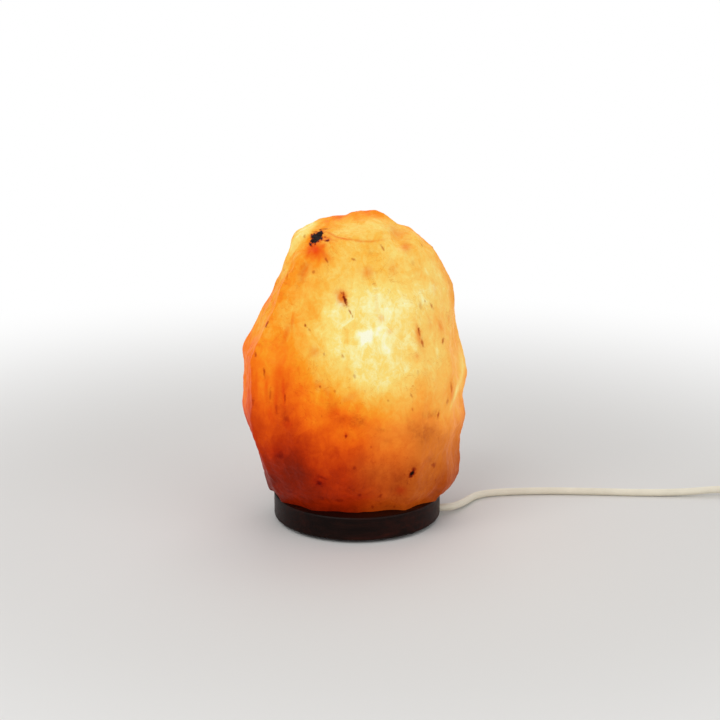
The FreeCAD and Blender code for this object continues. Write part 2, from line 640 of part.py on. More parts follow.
def core_top():
    return CORE_BODY_BOTTOM - TERMINAL_HEIGHT + TERMINAL_CORE_DEPTH


def terminal_screw_start(side):
    return Vector(CORE_RADIUS + 0.2, side * TERMINAL_PLACE, CORE_BODY_BOTTOM - TERMINAL_SCREW_DROP)


def terminal_screws():
    screws = []
    for side in (-1, 1):
        start, along = terminal_screw_start(side), Vector(1, 0, 0)
        shank = Part.makeCylinder(SMALL_SCREW_RADIUS, TERMINAL_SCREW_REACH, start, along)
        head = Part.makeCylinder(TERMINAL_SCREW_RADIUS, SMALL_HEAD_HEIGHT,
                                 start + along * TERMINAL_SCREW_REACH, along)
        screws.append(shank.fuse(head).removeSplitter())
    return screws


def centre_contact():
    """A sprung strip on the cup's floor, bent up in the middle to meet the bulb."""
    floor = SOCKET_FLOOR
    rise = BULB_BOTTOM - floor
    strip = ((-6.6, 0.0), (-2.6, 0.0), (-1.6, rise - 0.5), (1.6, rise - 0.5), (2.4, 0.2),
             (2.9, 0.2), (2.0, rise), (-2.0, rise), (-3.1, 0.5), (-6.6, 0.5))
    corners = [Vector(-STRIP_WIDTH / 2, y, floor + z) for y, z in strip]
    return Part.Face(Part.makePolygon(corners + corners[:1])).extrude(Vector(STRIP_WIDTH, 0, 0))


def screw_sleeve():
    """The threaded sleeve, with a foot that reaches its terminal."""
    seat = SOCKET_FLOOR + SLEEVE_LIFT
    tube = ring(SLEEVE_RADIUS + SLEEVE_WALL - 0.02, SLEEVE_RADIUS, seat,
                HOLDER_TOP - HOLDER_LIP - 0.5)
    foot = block(-STRIP_WIDTH / 2, STRIP_WIDTH / 2, TERMINAL_PLACE - TERMINAL_PIN_RADIUS,
                 SLEEVE_RADIUS + 0.2, SOCKET_FLOOR, seat)
    return tube.fuse(foot.common(cylinder(SLEEVE_RADIUS + 0.2, 0, HOLDER_TOP)))


def core_wires():
    """The two insulated cores, from the end of the sheath up through the nipple."""
    wires = []
    for side in (-1, 1):
        near, wide = side * CORE_SPACING / 2, side * TERMINAL_PLACE
        path, _ = rounded_path(((sheath_end(), near, CORD_EXIT_HEIGHT),
                                (0, near, CORD_EXIT_HEIGHT), (0, near, NIPPLE_TOP + 2),
                                (0, wide, CORE_BODY_BOTTOM - TERMINAL_HEIGHT - 4),
                                (0, wide, core_top())))
        wires.append(piped(path, CORE_RADIUS))
    return wires


def sheath_end():
    return CLAMP_PLACE - CLAMP_WIDTH / 2 - 1.5


def clip_in_holder():
    export("cover_plate", make_plate())
    export("cord_housing", make_housing())
    small = screw(SMALL_SCREW_RADIUS, SMALL_HEAD_RADIUS, SMALL_HEAD_HEIGHT,
                  PLATE_TOP - HOUSING_LIFT + 0.6)
    export("housing_screws", *[moved(small, 0, side * HOUSING_SCREW_PLACE,
                                     HOUSING_LIFT + SMALL_HEAD_RECESS)
                               for side in (-1, 1)])
    export("cord_clamp", make_clamp())
    export("clamp_screws", *clamp_screws())
    clip = make_clip()
    rivet = make_rivet()
    export("spring_clips", *[moved(clip, angle=a) for a in CLIP_ANGLES])
    export("clip_rivets", *[moved(rivet, angle=a) for a in CLIP_ANGLES])
    export("threaded_nipple", ring(NIPPLE_RADIUS, NIPPLE_BORE, NIPPLE_BOTTOM, NIPPLE_TOP))
    bore = NIPPLE_RADIUS + SCREW_CLEARANCE
    export("nipple_nuts", hexagon(NUT_ACROSS_FLATS, PLATE_BOTTOM - NUT_THICKNESS, PLATE_BOTTOM,
                                  bore),
           hexagon(NUT_ACROSS_FLATS, PLATE_TOP, PLATE_TOP + NUT_THICKNESS, bore))
    export("holder_cap", holder_cap())
    export("holder_shell", holder_shell())
    export("insulating_body", insulating_body())
    export("terminal_posts", *terminals())
    export("terminal_screws", *terminal_screws())
    export("centre_contact", centre_contact())
    export("screw_sleeve", screw_sleeve())
    export("core_wires", *core_wires())
    held = Part.makeCylinder(CORD_RADIUS, CORD_SPLIT - sheath_end(),
                             Vector(sheath_end(), 0, CORD_EXIT_HEIGHT), Vector(1, 0, 0))
    export("cord_inner", held)


# ---- bulb ----


def glass_body(inset):
    """The bulb's outline, drawn in by the wall for its inside."""
    radius = BULB_GLASS_RADIUS - inset
    neck = BULB_CAP_RADIUS - BULB_CAP_WALL - inset
    start = SEAL_BOTTOM + inset
    shoulder = BULB_CAP_TOP + BULB_SHOULDER_LIFT
    crown = BULB_TOP - BULB_GLASS_RADIUS
    corners = [Vector(0, 0, start), Vector(neck, 0, start), Vector(neck, 0, shoulder),
               Vector(radius, 0, shoulder + BULB_FLARE_HEIGHT), Vector(radius, 0, crown)]
    tip = Vector(0, 0, crown + radius)
    bend = Vector(radius * math.sin(math.radians(45)), 0,
                  crown + radius * math.cos(math.radians(45)))
    edges = list(Part.makePolygon(corners).Edges)
    edges += [Part.Arc(corners[-1], bend, tip).toShape(),
              Part.LineSegment(tip, corners[0]).toShape()]
    return Part.Face(Part.Wire(edges)).revolve(Vector(), UP, 360)


def bulb():
    export("bulb_glass", glass_body(0).cut(glass_body(BULB_GLASS_WALL)))
    inside = BULB_CAP_RADIUS - BULB_CAP_WALL
    export("bulb_cap", ring(BULB_CAP_RADIUS, inside, BULB_CAP_BOTTOM, BULB_CAP_TOP))
    contact_top = BULB_BOTTOM + BULB_CONTACT_HEIGHT
    export("bulb_insulator", Part.makeCone(BULB_CONTACT_RADIUS + 0.2, inside,
                                           BULB_CAP_BOTTOM + 1 - contact_top,
                                           Vector(0, 0, contact_top)))
    export("bulb_contact", cylinder(BULB_CONTACT_RADIUS, BULB_BOTTOM, contact_top))
    foot = SEAL_BOTTOM + BULB_GLASS_WALL
    stem_top = BULB_CAP_TOP + STEM_RISE
    stem = turned(((0, foot), (STEM_FOOT_RADIUS, foot), (STEM_FOOT_RADIUS, foot + 1),
                   (STEM_RADIUS + 0.2, foot + STEM_FLARE), (STEM_RADIUS - 0.2, stem_top),
                   (0, stem_top)))
    export("bulb_stem", stem)
    fork, near, reach = stem_top + LEAD_WIRE_RISE, LEAD_WIRE_SPACING / 2, FILAMENT_REACH
    wires = [piped(rounded_path(((side * near, 0, stem_top), (side * near, 0, stem_top + 1.5),
                                 (side * reach, 0, fork - 2), (side * reach, 0, fork)))[0],
                   LEAD_WIRE_RADIUS) for side in (-1, 1)]
    export("bulb_lead_wires", *wires)
    seat = fork + FILAMENT_RADIUS
    bow = ((-reach, 0, seat), (-reach / 2, 0.75 * FILAMENT_BOW, fork + 1),
           (0, FILAMENT_BOW, fork + 0.4), (reach / 2, 0.75 * FILAMENT_BOW, fork + 1),
           (reach, 0, seat))
    export("bulb_filament", piped(rounded_path(bow)[0], FILAMENT_RADIUS))


# ---- cord switch ----


def switch_shells():
    y0, y1 = SWITCH_Y - SWITCH_WIDTH / 2, SWITCH_Y + SWITCH_WIDTH / 2
    wall = SWITCH_WALL
    body = rounded_block(SWITCH_START, SWITCH_END, y0, y1, 0, SWITCH_HEIGHT, SWITCH_CORNER)
    top_rim = [e for e in body.Edges if e.BoundBox.ZMin > SWITCH_HEIGHT - 0.01]
    body = body.makeFillet(SWITCH_TOP_EDGE, top_rim)
    inside = rounded_block(SWITCH_START + wall, SWITCH_END - wall, y0 + wall, y1 - wall, wall,
                           SWITCH_HEIGHT - wall, SWITCH_CORNER - wall)
    body = body.cut(inside)
    columns = switch_screw_spots()
    for x in columns:
        column = cylinder(SWITCH_COLUMN_RADIUS, wall, SWITCH_HEIGHT - wall, x, SWITCH_Y)
        body = body.fuse(column)
    around = SWITCH_START - PAST, SWITCH_END + PAST, y0 - PAST, y1 + PAST
    lower = body.common(block(*around, -PAST, SWITCH_SPLIT))
    upper = body.common(block(*around, SWITCH_SPLIT, SWITCH_HEIGHT + PAST))
    hole = SMALL_SCREW_RADIUS + SCREW_CLEARANCE
    for x in columns:
        lower = lower.cut(cylinder(hole, -PAST, SWITCH_SPLIT + PAST, x, SWITCH_Y))
        lower = lower.cut(cylinder(SMALL_HEAD_RADIUS + SCREW_CLEARANCE, -PAST,
                                   SMALL_HEAD_HEIGHT + SWITCH_SCREW_RECESS, x, SWITCH_Y))
        screw_top = SWITCH_SCREW_RECESS + SWITCH_SCREW_LENGTH
        upper = upper.cut(cylinder(hole, SWITCH_SPLIT - PAST, screw_top + 2, x, SWITCH_Y))
    half = ROCKER_LENGTH / 2 + ROCKER_END_GAP
    side = ROCKER_WIDTH / 2 + ROCKER_GAP
    upper = upper.cut(block(SWITCH_MIDDLE - half, SWITCH_MIDDLE + half, SWITCH_Y - side,
                            SWITCH_Y + side, SWITCH_SPLIT - PAST, SWITCH_HEIGHT + PAST))
    for sign in (-1, 1):
        a, b = sorted((SWITCH_Y + sign * side, SWITCH_Y + sign * (side + CHEEK_THICKNESS)))
        upper = upper.fuse(block(SWITCH_MIDDLE - CHEEK_LENGTH / 2,
                                 SWITCH_MIDDLE + CHEEK_LENGTH / 2, a, b, SWITCH_SPLIT + 0.5,
                                 SWITCH_HEIGHT - wall))
    reach = rocker_pin_reach() + PIN_END_CLEARANCE
    pin_hole = Part.makeCylinder(ROCKER_PIN_RADIUS + PIN_HOLE_CLEARANCE, 2 * reach,
                                 Vector(SWITCH_MIDDLE, SWITCH_Y - reach, ROCKER_PIVOT_HEIGHT),
                                 Vector(0, 1, 0))
    return lower, upper.cut(pin_hole)


def switch_screw_spots():
    return SWITCH_START + SWITCH_SCREW_INSET, SWITCH_END - SWITCH_SCREW_INSET


def rocker_pin_reach():
    return ROCKER_WIDTH / 2 + ROCKER_GAP + ROCKER_PIN_END


def make_rocker():
    """The see-saw button on its two stub pins, pressed down at the lead's end."""
    half, side = ROCKER_LENGTH / 2, ROCKER_WIDTH / 2
    top = SWITCH_HEIGHT - ROCKER_PIVOT_HEIGHT
    horn = top + ROCKER_HORN
    outline = ((-half, -ROCKER_SKIRT), (-half, horn - 0.4), (-half + 1, horn), (0, top - 0.2),
               (half - 1, horn), (half, horn - 0.4), (half, -ROCKER_SKIRT),
               (2.5, -ROCKER_KEEL), (-2.5, -ROCKER_KEEL))
    corners = [Vector(x, -side, z) for x, z in outline]
    body = Part.Face(Part.makePolygon(corners + corners[:1])).extrude(Vector(0, 2 * side, 0))
    reach = rocker_pin_reach()
    body = body.fuse(Part.makeCylinder(ROCKER_PIN_RADIUS, 2 * reach, Vector(0, -reach, 0),
                                       Vector(0, 1, 0)))
    body.rotate(Vector(), Vector(0, 1, 0), -ROCKER_THROW / 2)
    body.translate(Vector(SWITCH_MIDDLE, SWITCH_Y, ROCKER_PIVOT_HEIGHT))
    return body


def relief_sleeve(length, thick, thin, height):
    """A tapered sleeve round the cord, along +X from its root at x = 0."""
    outer = Part.makeCone(thick, thin, length, Vector(0, 0, height), Vector(1, 0, 0))
    for count in range(1, int(length / RELIEF_RING_PITCH)):
        x = RELIEF_RING_PITCH * count
        radius = thick + (thin - thick) * x / length
        place, along = Vector(x, 0, height), Vector(1, 0, 0)
        cut = Part.makeCylinder(radius + PAST, RELIEF_RING_WIDTH, place, along)
        keep = Part.makeCylinder(radius - RELIEF_RING_DEPTH, RELIEF_RING_WIDTH, place, along)
        outer = outer.cut(cut.cut(keep))
    bore = Part.makeCylinder(CORD_RADIUS + RELIEF_CLEARANCE, length + 2, Vector(-1, 0, height),
                             Vector(1, 0, 0))
    return outer.cut(bore)


def cord_switch():
    lower, upper = switch_shells()
    export("switch_lower_shell", lower)
    export("switch_upper_shell", upper)
    sleeve = relief_sleeve(SWITCH_RELIEF_LENGTH, SWITCH_RELIEF_THICK, SWITCH_RELIEF_THIN,
                           SWITCH_CORD_HEIGHT)
    facing_lamp = moved(sleeve, angle=180)
    facing_lamp.translate(Vector(SWITCH_START, SWITCH_Y, 0))
    export("switch_reliefs", facing_lamp, moved(sleeve, SWITCH_END, SWITCH_Y))
    closing = screw(SMALL_SCREW_RADIUS, SMALL_HEAD_RADIUS, SMALL_HEAD_HEIGHT,
                    SWITCH_SCREW_LENGTH)
    export("switch_screws", *[moved(closing, x, SWITCH_Y, SWITCH_SCREW_RECESS)
                              for x in switch_screw_spots()])
    export("switch_rocker", make_rocker())
    contacts, half = [], SWITCH_CONTACT_SIZE / 2
    for sign in (-1, 1):
        x = SWITCH_MIDDLE + sign * SWITCH_CONTACT_PLACE
        contacts.append(block(x - half, x + half, SWITCH_Y - half, SWITCH_Y + half, SWITCH_WALL,
                              SWITCH_CONTACT_TOP))
    export("switch_contacts", *contacts)
    long, wide = SWITCH_STRIP_LENGTH / 2, SWITCH_STRIP_WIDTH / 2
    export("switch_spring_strip", block(SWITCH_MIDDLE - long, SWITCH_MIDDLE + long,
                                        SWITCH_Y - wide, SWITCH_Y + wide, SWITCH_CONTACT_TOP,
                                        SWITCH_CONTACT_TOP + SWITCH_STRIP_THICKNESS))


# ---- free cord ----


def coil_edges():
    """Two flat spirals, one above the other: inwards, a climb in half a turn, and outwards.

    Each half turn is an arc about its own middle, half a pitch smaller or larger than the
    last. Distances are kept as (along X, along -Y), so the turns run clockwise from above.
    """
    def place(u, v, height):
        return Vector(COIL_CENTRE[0] + u, COIL_CENTRE[1] - v, height)

    low, high = CORD_RADIUS, CORD_RADIUS + COIL_PITCH
    start = place(COIL_RADIUS, -CORD_DIAMETER, low)
    u, side = COIL_RADIUS, 1
    edges = [Part.LineSegment(start, place(u, 0, low)).toShape()]
    radii = [COIL_RADIUS - k * COIL_PITCH / 2 for k in range(HALF_TURNS_IN)]
    for radius in radii:
        middle = u - side * radius
        edges.append(Part.Arc(place(u, 0, low), place(middle, side * radius, low),
                              place(u - 2 * side * radius, 0, low)).toShape())
        u, side = u - 2 * side * radius, -side
    radius = radii[-1] - COIL_PITCH / 2
    first, last = place(u, 0, low), place(u - 2 * side * radius, 0, high)
    reach = first.distanceToPoint(last) / 2
    ahead = Vector(0, -side, 0)
    corner_in, corner_out = first + ahead * reach, last + ahead * reach
    halfway = (corner_in + corner_out) * 0.5
    edges.append(corner_arc(first, corner_in, halfway)[0].toShape())
    edges.append(corner_arc(halfway, corner_out, last)[0].toShape())
    u, side = u - 2 * side * radius, -side
    for _ in range(HALF_TURNS_OUT):
        radius += COIL_PITCH / 2
        middle = u - side * radius
        edges.append(Part.Arc(place(u, 0, high), place(middle, side * radius, high),
                              place(u - 2 * side * radius, 0, high)).toShape())
        u, side = u - 2 * side * radius, -side
    end = place(u, CORD_DIAMETER, high)
    edges.append(Part.LineSegment(place(u, 0, high), end).toShape())
    return edges, end


def least_gap(wire):
    """The least clear distance between turns, measured on points along the wire."""
    points = wire.discretize(Distance=2.0)
    step = wire.Length / (len(points) - 1)
    apart = int(4 * CORD_DIAMETER / step)
    return min(a.distanceToPoint(b) for i, a in enumerate(points)
               for b in points[i + apart:]) - CORD_DIAMETER


def free_cord():
    export("cord_lead", cord_run("cord_lead", LEAD_ROUTE))
    edges, coil_end = coil_edges()
    wire = Part.Wire(edges)
    coil = piped(wire, CORD_RADIUS)
    print(f"cord_coil: length {wire.Length:.1f}, least gap {least_gap(wire):.3f}, volume "
          f"{coil.Volume:.0f} of {math.pi * CORD_RADIUS ** 2 * wire.Length:.0f}")
    export("cord_coil", coil)
    export("cord_tail", cord_run("cord_tail", TAIL_ROUTE))
    straight = (coil_end.x, coil_end.y - COIL_EXIT_RUN, coil_end.z)
    export("plug_lead", cord_run("plug_lead", (tuple(coil_end), straight, *PLUG_ROUTE)))


# ---- plug ----


def plug():
    x, y = PLUG_BACK
    front, half, tail = x - PLUG_LENGTH, PLUG_WIDTH / 2, PLUG_TAIL_WIDTH / 2
    outline = ((front, -half), (front + PLUG_SHOULDER, -half), (x, -tail), (x, tail),
               (front + PLUG_SHOULDER, half), (front, half))
    corners = [Vector(px, y + py, 0) for px, py in outline]
    body = Part.Face(Part.makePolygon(corners + corners[:1])).extrude(UP * PLUG_THICKNESS)
    side_edges = [e for e in body.Edges
                  if e.BoundBox.ZLength < 0.1 < 1 < e.BoundBox.XLength]
    body = body.makeFillet(PLUG_EDGE_RADIUS, side_edges)
    export("plug_body", body)
    sleeve = relief_sleeve(PLUG_RELIEF_LENGTH, PLUG_RELIEF_THICK, PLUG_RELIEF_THIN,
                           PLUG_THICKNESS / 2)
    export("plug_relief", moved(sleeve, x, y))
    pins, sleeves = [], []
    for side in (-1, 1):
        root = Vector(front, y + side * PIN_SPACING / 2, PLUG_THICKNESS / 2)
        back = Vector(-1, 0, 0)
        straight = Part.makeCylinder(PIN_RADIUS, PIN_LENGTH - PIN_RADIUS, root, back)
        tip = Part.makeSphere(PIN_RADIUS, root + back * (PIN_LENGTH - PIN_RADIUS))
        thin = Part.makeCylinder(PIN_RADIUS + PAST, PIN_SLEEVE_LENGTH, root, back).cut(
            Part.makeCylinder(PIN_RADIUS - PIN_SLEEVE_WALL, PIN_SLEEVE_LENGTH, root, back))
        pins.append(straight.fuse(tip).removeSplitter().cut(thin))
        sleeves.append(Part.makeCylinder(PIN_RADIUS, PIN_SLEEVE_LENGTH, root, back).cut(
            Part.makeCylinder(PIN_RADIUS - PIN_SLEEVE_WALL, PIN_SLEEVE_LENGTH, root, back)))
    export("plug_pins", *pins)
    export("plug_pin_sleeves", *sleeves)


os.makedirs("parts", exist_ok=True)
lamp_body()
clip_in_holder()
bulb()
cord_switch()
free_cord()
plug()
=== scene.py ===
import json
import math

import bmesh
import bpy
import numpy as np
from mathutils import Matrix, Vector, noise
from mathutils.bvhtree import BVHTree


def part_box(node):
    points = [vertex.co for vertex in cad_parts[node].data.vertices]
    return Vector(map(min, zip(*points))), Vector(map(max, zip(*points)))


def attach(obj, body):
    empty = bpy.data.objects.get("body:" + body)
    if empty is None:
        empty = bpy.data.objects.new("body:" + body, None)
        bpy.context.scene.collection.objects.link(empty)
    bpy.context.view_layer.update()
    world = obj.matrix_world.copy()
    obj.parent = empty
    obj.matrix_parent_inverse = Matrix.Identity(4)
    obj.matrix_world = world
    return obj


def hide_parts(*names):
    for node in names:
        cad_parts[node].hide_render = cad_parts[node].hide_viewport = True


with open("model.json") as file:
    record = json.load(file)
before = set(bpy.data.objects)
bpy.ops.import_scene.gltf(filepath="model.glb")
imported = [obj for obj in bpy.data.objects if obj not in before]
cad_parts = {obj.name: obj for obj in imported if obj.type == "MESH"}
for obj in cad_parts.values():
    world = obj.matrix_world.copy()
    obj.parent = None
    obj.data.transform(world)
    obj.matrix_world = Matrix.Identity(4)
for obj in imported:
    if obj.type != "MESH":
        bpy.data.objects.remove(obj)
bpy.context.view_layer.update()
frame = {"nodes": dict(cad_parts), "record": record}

# Salt crystal lamp. Metres, +Z up, with the origin on the table under the base's middle.
# Colours are written as they show on a screen, 0 to 255.

NODES = frame["nodes"]
SCENE = bpy.context.scene
MM = 0.001

# ---- camera ----
VIEW_TARGET = Vector((0.002, 0.0, 0.1084))
VIEW_DISTANCE = 1.1
VIEW_ELEVATION = math.radians(15)
LENS = 83.0
SENSOR = 36.0
FRAME_PIXELS = 720

# ---- cord ----
CORD_DIAMETER = 0.005
CORD_LOW = CORD_DIAMETER / 2
COIL_CENTRE = (0.358, -0.039)
COIL_RADIUS = 0.038
COIL_PITCH = 0.00545
HALF_TURNS_IN = 7
HALF_TURNS_OUT = 6
POINTS_PER_HALF_TURN = 8

# The routes: the cord's middle, from the base to the switch, from the switch to
# the coil, and from the coil to the plug.
LEAD_ROUTE = (
    (0.050, 0.0, 0.0048), (0.059, 0.0, 0.0048), (0.0669, 0.0044, 0.0043),
    (0.0749, 0.0171, 0.0033), (0.0808, 0.0287, 0.0026), (0.0897, 0.0352, 0.0025),
    (0.1055, 0.0386, 0.0025), (0.134, 0.0404, 0.0025), (0.167, 0.0388, 0.0025),
    (0.200, 0.0362, 0.0025), (0.230, 0.0356, 0.0032), (0.254, 0.036, 0.0055),
    (0.278, 0.036, 0.0055),
)
TAIL_ROUTE = (
    (0.340, 0.036, 0.0055), (0.364, 0.036, 0.0055), (0.385, 0.0333, 0.0042),
    (0.3985, 0.0232, 0.0029), (0.404, 0.0085, 0.0025), (0.4015, -0.008, 0.0025),
    (0.396, -0.021, 0.0025), (0.396, -0.034, 0.0025),
)
PLUG_ROUTE = (
    (0.39055, -0.060, 0.00795), (0.392, -0.076, 0.0066), (0.3935, -0.0925, 0.0054),
    (0.384, -0.1053, 0.0056), (0.362, -0.107, 0.00685), (0.3405, -0.107, 0.00685),
)

# ---- rock ----
BORE_RADIUS = 0.025
BORE_TOP = 0.143
SCREW_HOLE_RADIUS = 0.0018
SCREW_HOLE_TOP = 0.0369
SCREW_CIRCLE = 0.040
SCREW_ANGLES = (90, 210, 330)
ROCK_VOXEL = 0.0013
ROCK_SMOOTHING = 5
CAP_PITCH = 0.00282         # of the thread of an E14 cap
CAP_DEPTH = 0.0005
CAP_THREAD = 0.0125         # how far up the thread runs
CAP_FOOT = 0.0012           # the part below the thread, drawn in
CAP_TURN_IN = 0.0012
CAP_WALL = 0.0002
CAP_SLOT = "nickel_pins"
RIDGE_WEAR = 0.0007         # ridges between the chips are worn to about this height
FOOT_EXTENSION = 0.010      # added under the rock while it is smoothed, and cut off again
GLOW_CENTRE = (0.0108, -0.008, 0.1193)
GLOW_STRETCH = (0.815, 1.0, 0.64, 1.0)      # of the distances along X, Y, up and down
GLOW_TOP = 1.38
GLOW_SLOPE = 11.0           # the level lost over each metre of distance
GLOW_KNEE = 0.88            # above this the level rises ever more slowly, towards the cap
GLOW_CAP = 0.965
LIT_SHARE = 0.68            # of the rock's colour that comes from the lamp inside


# ---- ways to build materials ----


def screen(red, green, blue):
    """A screen colour as linear light."""
    def linear(value):
        value /= 255
        return value / 12.92 if value <= 0.04045 else ((value + 0.055) / 1.055) ** 2.4
    return linear(red), linear(green), linear(blue), 1.0


class Finish:
    """A material under construction: a Principled shader, with short ways to add nodes."""

    def __init__(self, name, colour=None, **sockets):
        self.material = bpy.data.materials.new(name)
        self.material.use_nodes = True
        self.nodes = self.material.node_tree.nodes
        self.links = self.material.node_tree.links
        self.shader = self.nodes["Principled BSDF"]
        if colour:
            self.set("Base Color", screen(*colour))
        for socket, value in sockets.items():
            self.set(socket.replace("_", " "), value)
        self.place = self.add("TexCoord").outputs["Object"]

    def set(self, socket, value):
        if isinstance(value, bpy.types.NodeSocket):
            self.links.new(value, self.shader.inputs[socket])
        else:
            self.shader.inputs[socket].default_value = value

    def add(self, kind, inputs=None, **settings):
        node = self.nodes.new("ShaderNode" + kind)
        for key, value in settings.items():
            setattr(node, key, value)
        for key, value in (inputs or {}).items():
            if isinstance(value, bpy.types.NodeSocket):
                self.links.new(value, node.inputs[key])
            else:
                node.inputs[key].default_value = value
        return node

    def stretched(self, x, y, z, turn=(0, 0, 0)):
        """Object coordinates scaled by x, y and z, and turned first."""
        return self.add("Mapping", {"Vector": self.place, "Scale": (x, y, z),
                                    "Rotation": turn}).outputs[0]

    def noise(self, scale, detail=3.0, roughness=0.5, distortion=0.0, at=None):
        inputs = {"Vector": at or self.place, "Scale": scale, "Detail": detail,
                  "Roughness": roughness, "Distortion": distortion}
        return self.add("TexNoise", inputs).outputs[0]

    def cells(self, scale, feature="F1", at=None, randomness=1.0):
        inputs = {"Vector": at or self.place, "Scale": scale, "Randomness": randomness}
        return self.add("TexVoronoi", inputs, feature=feature).outputs["Distance"]

    def ramp(self, value, *stops, smooth=False):
        """Colours or grey levels at places from 0 to 1."""
        node = self.add("ValToRGB", {"Fac": value})
        bar = node.color_ramp
        bar.interpolation = "EASE" if smooth else "LINEAR"
        while len(bar.elements) < len(stops):
            bar.elements.new(0.5)
        for element, (at, colour) in zip(bar.elements, stops):
            element.position = at
        for element, (at, colour) in zip(bar.elements, stops):
            element.color = colour if hasattr(colour, "__len__") else (colour,) * 3 + (1.0,)
        return node.outputs[0]

    def math(self, operation, first, second=0.0, third=0.0):
        node = self.add("Math", operation=operation)
        for socket, value in zip(node.inputs, (first, second, third)):
            if isinstance(value, bpy.types.NodeSocket):
                self.links.new(value, socket)
            else:
                socket.default_value = value
        return node.outputs[0]

    def mixed(self, share, first, second, mode="MIX"):
        node = self.add("Mix", data_type="RGBA", blend_type=mode)
        for index, value in ((0, share), (6, first), (7, second)):
            if isinstance(value, bpy.types.NodeSocket):
                self.links.new(value, node.inputs[index])
            else:
                node.inputs[index].default_value = value
        return node.outputs[2]

    def ranged(self, value, low, high, to_low=0.0, to_high=1.0, smooth=False):
        inputs = {"Value": value, "From Min": low, "From Max": high, "To Min": to_low,
                  "To Max": to_high}
        kind = "SMOOTHSTEP" if smooth else "LINEAR"
        return self.add("MapRange", inputs, interpolation_type=kind).outputs[0]

    def flecks(self, scale, least, most, field):
        """Small long specks of uneven size and strength, thick in some places, none in others."""
        at = self.stretched(1, 1, 0.5, (0.35, 0.25, 0.0))
        cells = self.add("TexVoronoi", {"Vector": at, "Scale": scale})
        chance = self.add("SeparateColor", {"Color": cells.outputs["Color"]}).outputs
        size = self.ranged(chance[0], 0.0, 1.0, least, most)
        ragged = self.ranged(self.noise(scale * 8, 2.0), 0.3, 0.7, 0.7, 1.3)
        out = self.math("DIVIDE", self.math("MULTIPLY", cells.outputs["Distance"], ragged), size)
        mask = self.ranged(out, 0.4, 1.1, 1.0, 0.0, smooth=True)
        some = self.ranged(self.noise(field, 2.0), 0.44, 0.60)
        return self.math("MULTIPLY", self.math("MULTIPLY", mask, some), chance[1])

    def plates(self, scale, least, most):
        """A value for each crystal face: flat within it, with a sharp step to the next."""
        warp = self.add("TexNoise", {"Vector": self.place, "Scale": scale * 0.6, "Detail": 2.0})
        bent = self.add("VectorMath", {0: warp.outputs["Color"], 1: self.place, 2: (0, 0, 0)},
                        operation="ADD")
        away = self.add("VectorMath", {0: warp.outputs["Color"]}, operation="SCALE")
        away.inputs["Scale"].default_value = 0.35 / scale
        self.links.new(away.outputs[0], bent.inputs[0])
        faces = self.add("TexVoronoi", {"Vector": bent.outputs[0], "Scale": scale})
        return self.ranged(faces.outputs["Color"], 0.0, 1.0, least, most)

    def threads(self, scale, width, field):
        """Fine wandering lines."""
        level = self.noise(scale, 5.0, 0.62, 1.6)
        out = self.math("ABSOLUTE", self.math("SUBTRACT", level, 0.5))
        some = self.ranged(self.noise(field, 1.0), 0.48, 0.62)
        return self.math("MULTIPLY", self.ranged(out, 0.0, width, 0.6, 0.0), some)

    def bump(self, height, distance, strength=1.0):
        """Gives the shader a relief of that depth in metres, on top of any it has."""
        inputs = {"Height": height, "Distance": distance, "Strength": strength}
        normal = self.shader.inputs["Normal"]
        if normal.is_linked:
            inputs["Normal"] = normal.links[0].from_socket
        self.set("Normal", self.add("Bump", inputs).outputs[0])


# ---- materials ----


